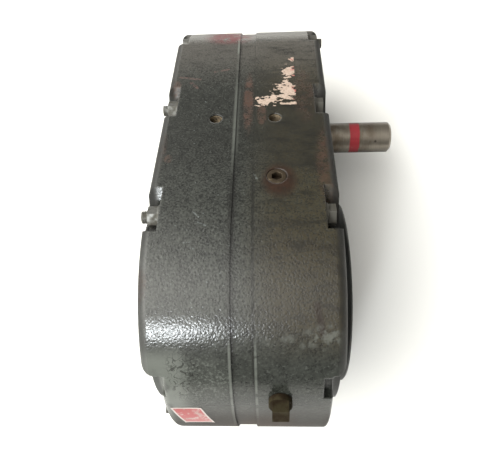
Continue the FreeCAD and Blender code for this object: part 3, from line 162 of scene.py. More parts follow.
class Finish:
    """A material or world under construction. One method adds any node to it."""

    def __init__(self, owner, coordinates="Object"):
        owner.use_nodes = True
        self.owner = owner
        self.tree = owner.node_tree
        self.tree.nodes.clear()
        self.place = self.node("ShaderNodeTexCoord", output=coordinates)
        self.x, self.y, self.z = self.axes(self.place)

    @classmethod
    def named(cls, name):
        return cls(bpy.data.materials.new(name))

    def axes(self, vector):
        parts = self.node("ShaderNodeSeparateXYZ", sockets={"Vector": vector}).socket.node.outputs
        return [Wire(self, part) for part in parts]

    def facing(self):
        """The way that the surface faces, as three values."""
        return self.axes(self.node("ShaderNodeNewGeometry", output="True Normal"))

    def node(self, kind, settings=None, sockets=None, output=0):
        made = self.tree.nodes.new(kind)
        for name, setting in (settings or {}).items():
            setattr(made, name, setting)
        for key, value in (sockets or {}).items():
            self.feed(self.find(made.inputs, key), value)
        return Wire(self, self.find(made.outputs, output)) if made.outputs else None

    @staticmethod
    def find(sockets, key):
        """A socket by its number, its identifier or its name, in that order."""
        if isinstance(key, int):
            return sockets[key]
        for socket in sockets:
            if socket.identifier == key:
                return socket
        return sockets[key]

    def feed(self, socket, value):
        if isinstance(value, Wire):
            self.tree.links.new(value.socket, socket)
        else:
            socket.default_value = value

    def blend(self, first, second, share):
        """Mix two colours."""
        sockets = {"Factor_Float": share, "A_Color": first, "B_Color": second}
        return self.node("ShaderNodeMix", {"data_type": "RGBA"}, sockets, "Result_Color")

    def shade(self, colour, amount):
        """Make a colour darker or brighter by a factor."""
        settings = {"data_type": "RGBA", "blend_type": "MULTIPLY"}
        sockets = {"Factor_Float": 1.0, "A_Color": colour, "B_Color": amount}
        return self.node("ShaderNodeMix", settings, sockets, "Result_Color")

    def compare(self, operation, first, second):
        """One number from two vectors."""
        return self.node("ShaderNodeVectorMath", {"operation": operation}, {0: first, 1: second}, "Value")

    def stretched(self, scale):
        """The surface's own coordinates, stretched along its axes."""
        sockets = {"Vector": self.place, "Scale": scale}
        return self.node("ShaderNodeMapping", {"vector_type": "TEXTURE"}, sockets)

    def clouds(self, grain, detail=3.0, roughness=0.5, place=None, twist=0.0):
        """Noise whose features are about one grain across, in metres."""
        sockets = {"Vector": place or self.place, "Scale": 1.0 / grain, "Detail": detail,
                   "Roughness": roughness, "Distortion": twist}
        return self.node("ShaderNodeTexNoise", sockets=sockets)

    def cells(self, grain, softness):
        """Rounded cells about one grain across."""
        settings = {"feature": "SMOOTH_F1"}
        sockets = {"Vector": self.place, "Scale": 1.0 / grain, "Smoothness": softness}
        return self.node("ShaderNodeTexVoronoi", settings, sockets)

    def patch(self, centre, reach, softness=0.35):
        """A soft oval spot on the upper side of the casing, in X and Y."""
        across = (self.x - centre[0]) / reach[0]
        along = (self.y - centre[1]) / reach[1]
        distance = (across * across + along * along).maths("SQRT")
        return distance.falling(1.0 - softness, 1.0 + softness)

    def stroke(self, start, end, width):
        """A thin line on the upper side of the casing, from one point in X and Y to another."""
        run_x, run_y = end[0] - start[0], end[1] - start[1]
        across, along = self.x - start[0], self.y - start[1]
        share = (across * run_x + along * run_y) / (run_x ** 2 + run_y ** 2)
        share = share.or_more(0.0).or_less(1.0)
        aside, astray = across - share * run_x, along - share * run_y
        distance = (aside * aside + astray * astray).maths("SQRT")
        return distance.falling(width * 0.3, width)

    def hollows(self, reach):
        """One deep in corners and holes, zero on open faces."""
        settings = {"samples": FINDER_RAYS}
        shade = self.node("ShaderNodeAmbientOcclusion", settings, {"Distance": reach}, "AO")
        return shade.falling(0.35, 0.85)

    def rounded(self, reach):
        """The way that the surface faces, with its sharp edges rounded."""
        return self.node("ShaderNodeBevel", {"samples": FINDER_RAYS}, {"Radius": reach})

    def edges(self, reach):
        """One on sharp outer and inner edges, zero on flat faces."""
        true = self.node("ShaderNodeNewGeometry", output="True Normal")
        return (1.0 - self.compare("DOT_PRODUCT", self.rounded(reach), true)).rising(0.01, 0.2)

    def bumped(self, height, distance, strength, reach=0.0, where=None):
        """Normals for a rough surface, with its sharp edges rounded by the reach."""
        sockets = {"Height": height, "Distance": distance, "Strength": strength}
        if reach:
            normal = self.rounded(reach)
            if where:
                plain = self.node("ShaderNodeNewGeometry", output="Normal")
                mixed = {"Factor_Float": where, "A_Vector": plain, "B_Vector": normal}
                normal = self.node("ShaderNodeMix", {"data_type": "VECTOR"}, mixed, "Result_Vector")
            sockets["Normal"] = normal
        return self.node("ShaderNodeBump", sockets=sockets)

    def close(self, **sockets):
        """Finish with one surface shader and give the material back."""
        named = {name.replace("_", " "): value for name, value in sockets.items()}
        surface = self.node("ShaderNodeBsdfPrincipled", sockets=named)
        self.node("ShaderNodeOutputMaterial", sockets={"Surface": surface})
        return self.owner


# Short forms of Blender's property functions, named in the same way.
def Numbers(name, description, default, subtype, **limits):
    return FloatVectorProperty(name=name, description=description, default=default, subtype=subtype, **limits)


def Colour(name, description, colour):
    return Numbers(name, description, (*colour, 1.0), "COLOR", size=4, min=0.0, max=1.0)


def Length(name, description, default):
    return FloatProperty(name=name, description=description, default=default, unit="LENGTH", precision=5)


def Angle(name, description, default):
    return FloatProperty(name=name, description=description, default=default, subtype="ANGLE")


def Number(name, description, default, lowest=0.0, **more):
    return FloatProperty(name=name, description=description, default=default, min=lowest, **more)


class CasingPaint(bpy.types.PropertyGroup):
    """Hammered grey enamel on cast iron, with the marks of long use."""

    grey: Colour("Grey", "Raised parts of the hammered pattern", (0.033, 0.0355, 0.0310))
    dark: Colour("Dark", "Hollows of the hammered pattern", (0.0045, 0.0052, 0.0045))
    # Pale enamel, also used as painted light on the near-left corner of the big end and as painted highlights
    # on the band's edges.
    pale: Colour("Pale", "Thick or rubbed enamel", (0.11, 0.118, 0.106))
    # Also used as painted light on the pocket walls that face the big end, and as painted glints.
    wall: Colour("Pocket wall", "Smooth enamel in the bolt pockets", (0.15, 0.17, 0.17))
    # Partly dust, partly a painted sheen where the far end curves away.
    faded: Colour("Faded", "Dusty enamel at the far end", (0.072, 0.067, 0.060))
    # Dirt, and also painted shade in hollows, on the rims, on a band of the upper side and in the grooves.
    dark_dirt_and_shade: Colour("Dirt", "Dirt in grooves", (0.006, 0.006, 0.005))
    brown: Colour("Brown", "Dust", (0.0275, 0.0228, 0.0118))
    oil: Colour("Oil", "Dried oil", (0.0095, 0.0048, 0.0022))
    # Partly dry dirt, partly a painted warm reflection along the foot of the big end.
    silt_and_reflection: Colour("Silt", "Dry dirt along the foot of the big end", (0.046, 0.026, 0.014))
    rust: Colour("Rust", "Rust that shows through", (0.058, 0.021, 0.010))
    red: Colour("Red", "Smear of red paint", (0.085, 0.006, 0.009))
    scratch: Colour("Scratch", "Primer that shows in scratches", (0.16, 0.09, 0.08))
    hammer_grain: Length("Hammer grain", "Width of one hammered cell", 0.0021)
    hammer_depth: Length("Hammer depth", "Depth of the hammered cells", 0.0002)
    edge_radius: Length("Edge radius", "Rounding of the painted edges", 0.0025)
    cover_share: Number("Cover shade", "Brightness beside the casing", 0.35, max=1.0, subtype="FACTOR")


class MetalFinish(bpy.types.PropertyGroup):
    """Bare and plated steel, rubber and gasket paper."""

    steel: Colour("Steel", "Bare machined steel", (0.24, 0.215, 0.18))
    plated: Colour("Plated steel", "Dull zinc on nuts and bolts", (0.15, 0.152, 0.146))
    oil: Colour("Oil", "Brown oil film on bare steel", (0.085, 0.064, 0.042))
    plug: Colour("Plug", "Browned steel of the filler plug", (0.12, 0.095, 0.065))
    thread: Colour("Thread", "Cut threads in the torque arm holes", (0.24, 0.185, 0.115))
    iron: Colour("Iron", "Dark machined cast iron", (0.10, 0.096, 0.09))
    rubber: Colour("Rubber", "Seal rubber", (0.022, 0.022, 0.023))
    paper: Colour("Gasket paper", "Oiled gasket paper", (0.24, 0.19, 0.12))
    band_red: Colour("Band", "Red paint band on the input shaft", (0.33, 0.016, 0.026))
    # Also painted shade on the shaft's flanks; the pit takes it as dirt.
    shaft_dirt_and_shade: Colour("Shaft dirt", "Dried oil on the shaft's flanks", (0.016, 0.013, 0.010))
    band_start: Length("Band start", "X of the red band's inner edge", 0.1385)
    band_width: Length("Band width", "Width of the red band", 0.0135)
    pit_x: Length("Pit", "X of the dark pit on the shaft", 0.1737)


class ThreadSizes(bpy.types.PropertyGroup):
    """Screw threads that show in the torque arm holes and on the bolt tips."""

    hole_pitch: Length("Hole pitch", "Pitch in the torque arm holes", 0.002)
    hole_depth: Length("Hole ridge", "How far the ridge stands into the hole", 0.0006)
    bolt_radius: Length("Bolt radius", "Radius of the bolts", 0.006)
    bolt_pitch: Length("Bolt pitch", "Pitch of the bolts", 0.00175)
    bolt_depth: Length("Bolt ridge", "How far the ridge stands out of the bolt", 0.0003)
    overlap: Length("Overlap", "How far a ridge's foot goes into what carries it", 0.0001)


class LabelSizes(bpy.types.PropertyGroup):
    """A blank red sticker on the big end."""

    width: Length("Width", "Width across the casing", 0.0295)
    height: Length("Height", "Height round the big end", 0.0355)
    border: Length("Border", "White border", 0.0017)
    centre_x: Length("Centre", "X of its middle", -0.0514)
    angle: Angle("Angle", "Angle of its middle round the big end, from the top", math.radians(63.0))
    slant: Angle("Slant", "How far its sides lean", math.radians(15.5))
    lift: Length("Lift", "Height over the paint", 0.0002)
    red: Colour("Red", "Printed field", (0.26, 0.022, 0.026))
    white: Colour("White", "Border and scuffs", (0.40, 0.36, 0.34))
    dirt: Colour("Dirt", "Dirt on the print", (0.12, 0.09, 0.07))


class PaperSizes(bpy.types.PropertyGroup):
    """What is left of a paper sticker that was torn off."""

    cell: Length("Cell", "Size of one mesh cell", 0.0008)
    thickness: Length("Thickness", "Thickness of the paper", 0.00025)
    raggedness: Number("Raggedness", "How far the tear wanders", 0.9)
    grain: Length("Tear grain", "Size of the tear's teeth", 0.005)
    cut_x: Length("Cut edge", "X of the sticker's straight right edge", 0.0578)
    seed: IntProperty(name="Seed", description="Shape of the tear", default=7)
    white: Colour("White", "Paper fibres", (0.37, 0.285, 0.235))
    tan: Colour("Tan", "Soiled fibres", (0.13, 0.095, 0.062))
    red: Colour("Red", "Traces of print", (0.25, 0.030, 0.030))


class StageSettings(bpy.types.PropertyGroup):
    """Floor, light and the photograph's camera."""

    floor: Colour("Floor", "Plain pale floor", (0.74, 0.74, 0.73))
    floor_size: Length("Floor size", "Side of the floor", 60.0)
    sky: Colour("Light tent", "Colour of the soft light all round", (1.0, 0.985, 0.93))
    fill: Number("Fill", "Strength of the soft light all round", 0.25)
    glow: Number("Glow", "Strength of the tent's bright part overhead", 7.0)
    glow_focus: Number("Glow focus", "How narrow that part is", 5.5, lowest=1.0)
    glow_from: Numbers("Glow from", "Where the tent is brightest", (-0.60, -0.20, 0.77), "DIRECTION")
    side_glow: Number("Side glow", "Strength of the bright part at the left", 4.5)
    side_focus: Number("Side focus", "How narrow that part is", 8.0, lowest=1.0)
    side_from: Numbers("Side glow from", "Where that part is brightest", (-0.70, 0.45, 0.55), "DIRECTION")
    key_power: Number("Window power", "Power of the window light", 8.0, unit="POWER")
    key_from: Numbers("Window from", "Where the window light is", (-0.27, -0.665, 0.70), "DIRECTION")
    key_distance: Length("Window distance", "Distance of the window light", 1.5)
    key_size: Length("Window size", "Side of the window light", 0.2)
    key_colour: Numbers("Window colour", "Colour of the window light", (0.92, 0.97, 1.0), "COLOR",
                        min=0.0, max=1.0)
    focal_px: Number("Focal length", "In pixels of the photograph", 472.9)
    camera_place: Numbers("Camera", "Place of the camera", (0.0266, -0.0846, 0.5569), "TRANSLATION")
    camera_pitch: Angle("Pitch", "How far it looks down", 1.2982)
    camera_yaw: Angle("Yaw", "How far it looks to the right", -0.1649)
    camera_roll: Angle("Roll", "How far it is tipped to the right", 0.1710)


class ReducerSettings(bpy.types.PropertyGroup):
    """Everything that a user would change."""

    casing: PointerProperty(type=CasingPaint)
    metal: PointerProperty(type=MetalFinish)
    thread: PointerProperty(type=ThreadSizes)
    label: PointerProperty(type=LabelSizes)
    torn: PointerProperty(type=PaperSizes)
    stage: PointerProperty(type=StageSettings)


def dress(names, material):
    """Give CAD nodes a material through their slots."""
    for name in names:
        for slot in frame["nodes"][name].material_slots:
            slot.material = material


def add_object(name, data):
    made = bpy.data.objects.new(name, data)
    bpy.context.scene.collection.objects.link(made)
    return made


def add_piece(name, mesh, body, material):
    """Link a new piece that rides on a body."""
    piece = add_object(name, mesh)
    mesh.materials.append(material)
    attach(piece, body)


def as_mesh(name, form):
    mesh = bpy.data.meshes.new(name)
    form.to_mesh(mesh)
    form.free()
    return mesh


def dimmed(colour, share):
    return [channel * share for channel in colour[:3]] + [1.0]


# Marks of use on the upper side. A spot has its middle, its half sizes in X and Y, and its strength.
RUST_SPOTS = (
    ((0.003, 0.203), (0.0055, 0.044), 1.0),
    ((0.018, 0.181), (0.005, 0.014), 0.8),
    ((0.066, 0.215), (0.012, 0.042), 0.32),
    ((0.086, 0.104), (0.012, 0.050), 0.6),
    ((-0.086, 0.232), (0.008, 0.011), 1.0),
    ((-0.078, 0.118), (0.004, 0.005), 0.8),
    ((-0.088, 0.130), (0.006, 0.025), 0.35),
    ((-0.090, -0.018), (0.006, 0.014), 0.7),
)
# Single marks on the upper side: middle and half sizes in X and Y.
RED_SMEAR = ((-0.026, 0.334), (0.025, 0.016))
FILLER_HALO = ((0.0355, 0.088), (0.0155, 0.0185))
WORM_PITS = ((-0.052, -0.094), (0.017, 0.022))
PALE_FLECKS = ((-0.045, -0.100), (0.036, 0.020))
RIGHT_SCUFF = ((0.073, -0.062), (0.018, 0.009))
FAINT_SCUFF = ((0.05, -0.066), (0.03, 0.006))
# A scratch or a run of oil has its two ends in X and Y, and its width.
OIL_RUN = ((0.0655, -0.036), (0.071, -0.060), 0.0045)
PRIMER_SCRATCHES = (
    ((-0.080, 0.249), (-0.056, 0.244), 0.0022),
    ((-0.039, 0.258), (-0.022, 0.262), 0.0020),
    ((-0.066, 0.238), (-0.058, 0.229), 0.0026),
)
PALE_SCRATCHES = (
    ((-0.041, 0.041), (-0.033, 0.037), 0.0011),
    ((-0.046, 0.052), (-0.040, 0.046), 0.0010),
    ((0.011, 0.096), (0.014, 0.088), 0.0014),
    ((-0.052, 0.020), (-0.046, 0.021), 0.0010),
)


class CasingFinish(Finish):
    """Dark hammered enamel on the casing, put on layer by layer."""

    def __init__(self, paint):
        super().__init__(bpy.data.materials.new("hammered_enamel"))
        self.paint = paint
        self.side_x, side_y, side_z = self.facing()
        self.upper = side_z.rising(0.05, 0.3)
        band_edge = abs(abs(self.x) - BAND_HALF_WIDTH)
        self.open_edge = abs(self.x).rising(0.003, 0.005) * band_edge.rising(0.002, 0.0035)
        self.pebbles = self.cells(paint.hammer_grain, 0.5)
        self.worms = self.clouds(paint.hammer_grain, 2.0, 0.5, twist=0.5)
        self.raised = self.worms.rising(0.32, 0.66)
        self.smudges = self.clouds(0.011, 4.0, 0.6, self.stretched((2.6, 1.0, 1.0)))
        self.speckle = self.clouds(0.0025, 3.0, 0.6)
        self.mottle = self.clouds(0.0085, 3.0, 0.6)
        self.flaking = self.clouds(0.011, 5.0, 0.65)
        self.wide = self.clouds(0.045, 4.0)
        self.near = self.y.falling(-0.085, -0.06)
        self.far = self.y.rising(0.215, 0.32) * self.upper
        # The near-left corner that is painted pale, partly as thicker enamel and partly as painted light.
        near_left = self.x.falling(-0.062, -0.045) * self.y.falling(-0.085, -0.066)
        self.thick_and_lit = near_left * self.z.rising(0.02, 0.06) * self.wide.rising(0.3, 0.45)
        right_side = self.x.rising(-0.01, 0.04) * self.y.rising(-0.09, -0.05) * self.upper
        self.dust = right_side * self.clouds(0.16, 2.0).rising(0.2, 0.5)
        to_big_end = side_y.falling(-0.95, -0.5)
        self.pocket = to_big_end * abs(self.x).rising(0.077, 0.079) * self.y.rising(0.0, 0.02)
        pattern = self.raised * (0.8 - self.near * 0.45) + self.near * 0.25
        pattern = pattern + self.mottle.rising(0.32, 0.68) * 0.35 - 0.05
        self.colour = self.blend(paint.dark, paint.grey, pattern)

    def cover(self, colour, share):
        self.colour = self.blend(self.colour, colour, share)

    def settle_dust_and_painted_light(self):
        """Pale flecks all over, dust on the right, dust and a painted sheen at the far end, thicker enamel
        painted pale as lit at the near left, painted glints, and painted shade in hollows and on a band of the
        upper side.
        """
        paint = self.paint
        self.cover(paint.pale, self.speckle.rising(0.56, 0.7) * 0.28)
        on_top = 0.3 + self.raised * 0.7
        # Painted shade: a band across the upper side is darkened.
        upper_painted_shade = self.y.rising(0.07, 0.14) * self.y.falling(0.21, 0.27) * self.upper
        self.cover(paint.brown, self.dust * (0.85 + self.wide * 0.3) * on_top)
        self.cover(paint.dark_dirt_and_shade, upper_painted_shade * (0.18 + self.wide * 0.35 + self.dust * 0.05))
        # Partly dust, partly a painted sheen: the far end, where it curves away, is painted pale.
        self.cover(paint.faded, self.far * (0.75 + self.wide * 0.5) * (0.5 + self.raised * 0.4))
        self.cover(paint.dark_dirt_and_shade, self.far * self.smudges.rising(0.48, 0.7) * 0.38)
        self.cover(paint.dark_dirt_and_shade, self.dust * self.smudges.rising(0.44, 0.7) * 0.65)
        self.cover(paint.oil, self.dust * self.y.falling(0.0, 0.06) * 0.22)
        # Painted glints: sparse pale specks on the left of the upper side.
        painted_glints = self.clouds(0.0032, 1.0).rising(0.73, 0.82) * self.x.falling(-0.02, 0.02)
        self.cover(paint.wall, painted_glints * self.upper * 0.5)
        # Partly thicker enamel, partly painted light: the near-left corner of the big end is painted pale.
        self.cover(paint.pale, self.thick_and_lit * 0.85)
        # Dirt and painted shade: hollows and corners are darkened.
        self.cover(paint.dark_dirt_and_shade, self.hollows(0.012) * 0.6)

    def groove_dirt_shade_and_highlights(self):
        """Dirt and painted shade along both edges of the recessed band, and edges that are worn and painted
        pale as highlights at its ends.
        """
        left = abs(self.x + BAND_HALF_WIDTH)
        right = abs(self.x - BAND_HALF_WIDTH)
        low = self.y.falling(0.06, 0.13)
        # Dirt and painted shade in the grooves along the band, wider on the left.
        groove_dirt_and_shade = left.falling(0.0, 0.0062).or_more(right.falling(0.0004, 0.0026))
        self.cover(self.paint.dark_dirt_and_shade, groove_dirt_and_shade * low * (0.45 + self.wide * 0.4))
        # Wear and a painted highlight: the band's left edge is painted pale.
        rubbed_and_lit = left.falling(0.0012, 0.0045) * self.y.rising(0.10, 0.15) * self.y.falling(0.21, 0.25)
        self.cover(self.paint.pale, rubbed_and_lit * self.upper * (0.2 + self.flaking * 0.4))
        outside = abs(self.x) - BAND_HALF_WIDTH
        # Wear and painted highlights: the band's outer edges are painted pale near its ends.
        ridge = abs(outside - 0.0016).falling(0.0004, 0.0018) * self.flaking.rising(0.3, 0.5)
        near_ends = self.y.falling(-0.075, -0.06) * 0.65
        left_side = self.x.falling(-0.01, 0.0)
        far_end = self.y.rising(0.285, 0.3) * 0.9 + self.y.rising(0.08, 0.12) * 0.2
        self.cover(self.paint.pale, ridge * self.upper * (near_ends + far_end * left_side))

    def mark_near_end(self):
        """Wormy pits, a run of oil, pale scuffs, darker colour towards the foot, and dry dirt with a painted
        warm reflection on the big end.
        """
        paint = self.paint
        pits = abs(self.clouds(0.0065, 1.0, twist=0.8) - 0.5).falling(0.012, 0.04)
        pits = pits * self.patch(*WORM_PITS) * self.upper
        flecked = self.patch(*PALE_FLECKS, 0.5) * self.upper
        self.cover(paint.pale, flecked * (0.15 + self.speckle.rising(0.45, 0.65) * 0.4))
        self.cover(paint.dark_dirt_and_shade, pits * 0.7)
        self.cover(paint.oil, self.stroke(*OIL_RUN) * self.upper * 0.85)
        scuff = self.patch(*RIGHT_SCUFF).or_more(self.patch(*FAINT_SCUFF) * 0.6)
        self.cover(paint.pale, scuff * self.flaking.rising(0.45, 0.6) * self.upper * 0.45)
        # Darker towards the foot of the big end.
        self.low_end_darkening = self.y.falling(-0.145, -0.115) * self.z.rising(-0.02, 0.03)
        self.cover(paint.oil, self.low_end_darkening * (0.4 + self.wide.rising(0.2, 0.5) * 0.4))
        # Partly dry dirt, partly a painted warm reflection along the foot of the big end.
        foot = self.y.falling(-0.148, -0.125) * self.z.rising(-0.04, 0.05) * self.x.rising(-0.06, 0.03)
        self.cover(paint.silt_and_reflection, foot * self.wide.rising(0.25, 0.7) * 0.55)

    def paint_pocket_light(self):
        """Painted light: smooth pale enamel on the pocket walls that face the big end, mostly at the left."""
        share = self.x.falling(-0.05, 0.05) * 0.75 + 0.15
        self.cover(self.paint.wall, self.pocket * share * (0.7 + self.wide * 0.3))

    def rust_through(self):
        """Rust in spots and in chips along the edges, and a smear of red paint at the far end."""
        paint = self.paint
        spots = [self.patch(centre, reach) * strength for centre, reach, strength in RUST_SPOTS]
        edge = self.edges(paint.edge_radius) * self.open_edge
        chips = edge * self.clouds(0.014, 5.0, 0.7).rising(0.58, 0.66) * 0.5
        mottled = self.flaking.rising(0.28, 0.7) * self.speckle.rising(0.2, 0.65)
        spotted = reduce(Wire.or_more, spots) * self.upper * mottled
        self.rust = spotted.or_more(chips) * (1.0 - self.pocket)
        self.cover(paint.rust, self.rust)
        self.smear = self.patch(*RED_SMEAR, 0.5) * self.mottle.rising(0.28, 0.52)
        self.cover(paint.red, self.smear)

    def scratch(self):
        """Scratches that show primer or pale enamel."""
        for colour, strokes in ((self.paint.scratch, PRIMER_SCRATCHES), (self.paint.wall, PALE_SCRATCHES)):
            for stroke in strokes:
                broken = self.stroke(*stroke) * self.speckle.rising(0.38, 0.58) * self.upper
                self.cover(colour, broken * 0.4)

    def spill_oil(self):
        """Brown oil round the filler, and runs of oil and dirt down the upright sides."""
        halo = self.patch(*FILLER_HALO) * self.upper
        self.cover(self.paint.oil, halo * self.flaking.rising(0.15, 0.4) * 0.95)
        self.cover(self.paint.rust, halo * self.flaking.rising(0.25, 0.6) * 0.25)
        runs = self.clouds(0.014, 4.0, 0.6, self.stretched((1.0, 1.0, 9.0)))
        upright = abs(self.side_x).rising(0.6, 0.9)
        self.cover(self.paint.oil, upright * runs.rising(0.5, 0.68) * 0.6)

    def finished(self):
        """Painted shade along the rims, and the enamel's relief and gloss."""
        smooth = self.thick_and_lit * 0.7 + self.near * 0.25 + self.pocket
        # Painted shade: the side rims are darkened, more so past the crown.
        rim = abs(self.x).rising(0.083, 0.089) * self.upper
        past_crown = self.y.rising(0.0, 0.03)
        self.cover(self.paint.dark_dirt_and_shade, rim * (1.0 - self.pocket) * (0.6 + past_crown * 0.3))
        hammer = (self.pebbles * 0.5 + self.worms * 0.9) * (1.0 - smooth.or_less(1.0))
        far_crown = self.y.rising(0.325, 0.345) + self.smear
        soiled = self.low_end_darkening * 3.0 + self.dust * 0.2 + rim * (2.0 + past_crown) + self.pocket + far_crown
        return self.close(
            Base_Color=self.colour,
            Roughness=0.13 + self.wide * 0.1 + self.rust * 0.45 + soiled * 0.2,
            Normal=self.bumped(hammer, self.paint.hammer_depth, 1.0, self.paint.edge_radius, self.open_edge),
        )


def hammered_enamel(paint):
    """All the layers, in the order in which they lie on the casing."""
    finish = CasingFinish(paint)
    finish.settle_dust_and_painted_light()
    finish.groove_dirt_shade_and_highlights()
    finish.mark_near_end()
    finish.paint_pocket_light()
    finish.rust_through()
    finish.scratch()
    finish.spill_oil()
    return finish.finished()


class REDUCER_OT_paint_casing(bpy.types.Operator):
    """Paint both casing halves in hammered enamel"""

    bl_idname = "reducer.paint_casing"
    bl_label = "Paint casing"

    def execute(self, context):
        dress(CASING_NODES, hammered_enamel(context.scene.reducer.casing))
        return {"FINISHED"}


def dark_enamel(paint):
    """The same enamel on the turned covers, smooth and dirty."""
    finish = Finish.named("dark_enamel")
    stains = finish.clouds(0.03, 4.0)
    fine = finish.clouds(0.002, 2.0)
    dull = dimmed(paint.grey, paint.cover_share)
    colour = finish.blend(dull, paint.dark, stains.rising(0.35, 0.65))
    chips = finish.edges(0.0015) * finish.clouds(0.008, 4.0).rising(0.5, 0.6)
    colour = finish.blend(colour, paint.rust, chips * 0.8)
    return finish.close(
        Base_Color=colour,
        Roughness=0.42 + stains * 0.2,
        Normal=finish.bumped(fine, 0.00008, 0.6, 0.001),
        Specular_IOR_Level=0.2,
    )


class REDUCER_OT_paint_covers(bpy.types.Operator):
    """Paint the output covers and the pressed end caps"""

    bl_idname = "reducer.paint_covers"
    bl_label = "Paint covers"

    def execute(self, context):
        dress(COVER_NODES + CAP_NODES, dark_enamel(context.scene.reducer.casing))
        return {"FINISHED"}


def plug_wear_and_highlight(finish):
    """Clean at the rim of the socket that is nearest to the big end, dirty elsewhere; that crescent is partly
    wear and partly a painted highlight.
    """
    low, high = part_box("filler_plug")
    middle = (low + high) / 2
    radius = (high.x - low.x) / 2
    across = (finish.x - middle.x) / radius
    along = (finish.y - middle.y) / radius
    lit_near_side = (across * -0.4 - along * 0.9).rising(0.3, 0.55)
    return 1.0 - lit_near_side * (across * across + along * along).falling(0.5, 0.8)


def soiled_at_right(finish):
    """Dirt on what lies right of the middle."""
    return finish.x.rising(0.0, 0.05) * 0.9


def worn_metal(name, base, stain, roughness, edge_reach, metallic=0.9, soil=None, shine=0.5):
    """Steel with a patchy film over it, dirt and painted shade in its hollows, and bright edges."""
    finish = Finish.named(name)
    film = finish.clouds(0.009, 5.0, 0.6)
    fine = finish.clouds(0.0012, 3.0)
    cover = film.rising(0.38, 0.64)
    if soil:
        cover = cover.or_more(soil(finish))
    colour = finish.blend(base, stain, cover * 0.75)
    bright = finish.edges(edge_reach)
    colour = finish.blend(colour, base, bright * 0.6)
    # Dirt and painted shade: hollows take the stain colour.
    sunk_dirt_and_shade = finish.hollows(0.006)
    colour = finish.blend(colour, stain, sunk_dirt_and_shade * 0.8)
    return finish.close(
        Base_Color=colour,
        Metallic=(metallic - cover * 0.35) * (1.0 - sunk_dirt_and_shade * 0.7),
        Roughness=roughness + cover * 0.22 + fine * 0.08,
        Normal=finish.bumped(fine + film * 0.5, 0.00012, 0.5, edge_reach),
        Specular_IOR_Level=shine,
    )


class REDUCER_OT_dress_fasteners(bpy.types.Operator):
    """Give bolts, nuts, washers, screws and plugs their metals"""

    bl_idname = "reducer.dress_fasteners"
    bl_label = "Dress fasteners"

    def execute(self, context):
        metal = context.scene.reducer.metal
        paint = context.scene.reducer.casing
        zinc = worn_metal("dull_zinc", metal.plated, paint.brown, 0.4, 0.0008, soil=soiled_at_right)
        dress(CASING_FASTENER_NODES, zinc)
        dress(SCREW_NODES, worn_metal("black_oxide", metal.iron, metal.oil, 0.45, 0.0008))
        filler = worn_metal("browned_plug", metal.plug, paint.oil, 0.36, 0.0012, 0.8, plug_wear_and_highlight, OILY_SHINE)
        dress(("filler_plug",), filler)
        drain = worn_metal("blackened_plug", paint.brown, paint.oil, 0.7, 0.0008, 0.1, shine=OILY_SHINE)
        dress(("drain_plug",), drain)
        return {"FINISHED"}


def thread_mesh(name, places, root, crest, pitch, start, end, steps=24):
    """One helical ridge at each place, about its Z axis. It runs out over half a turn at both ends."""
    form = bmesh.new()
    count = round((end - start) / pitch * steps)
    for place in places:
        rings = []
        for step in range(count + 1):
            turn = 2 * math.pi * step / steps
            along = start + (end - start) * step / count
            height = min(1.0, RIDGE_RUN_OUT + 2 * min(step, count - step) / steps)
            foot = RIDGE_HALF_FOOT * pitch * height
            section = ((root, -foot), (root + (crest - root) * height, 0.0), (root, foot))
            ring = []
            for radius, offset in section:
                point = Vector((radius * math.cos(turn), radius * math.sin(turn), along + offset))
                ring.append(form.verts.new(place @ point))
            rings.append(ring)
        for first, second in zip(rings, rings[1:]):
            for number in range(3):
                after = (number + 1) % 3
                form.faces.new((first[number], first[after], second[after], second[number]))
        form.faces.new(rings[0])
        form.faces.new(rings[-1])
    bmesh.ops.recalc_face_normals(form, faces=form.faces)
    return as_mesh(name, form)


def upright_at(point, axis):
    """A place whose Z runs along the axis."""
    return Matrix.Translation(point) @ Vector(axis).to_track_quat("Z", "Y").to_matrix().to_4x4()


def separate_boxes(node):
    """The lowest and highest corner of each solid in a node's mesh."""
    form = bmesh.new()
    form.from_mesh(frame["nodes"][node].data)
    bmesh.ops.remove_doubles(form, verts=form.verts, dist=1e-6)
    boxes = []
    seen = set()
    for seed in form.verts:
        if seed in seen:
            continue
        seen.add(seed)
        island = [seed]
        for vertex in island:
            for edge in vertex.link_edges:
                other = edge.other_vert(vertex)
                if other not in seen:
                    seen.add(other)
                    island.append(other)
        boxes.append([Vector([pick(vertex.co[axis] for vertex in island) for axis in range(3)])
                      for pick in (min, max)])
    form.free()
    return boxes


def bolt_tips():
    """A place at the end of each casing bolt, with Z along the bolt and outwards."""
    tips = []
    for low, high in separate_boxes("casing_bolts"):
        middle = (low + high) / 2
        outward = 1.0 if high.x > -low.x else -1.0
        tip = high.x if outward > 0 else low.x
        tips.append(upright_at((tip, middle.y, middle.z), (outward, 0.0, 0.0)))
    return tips


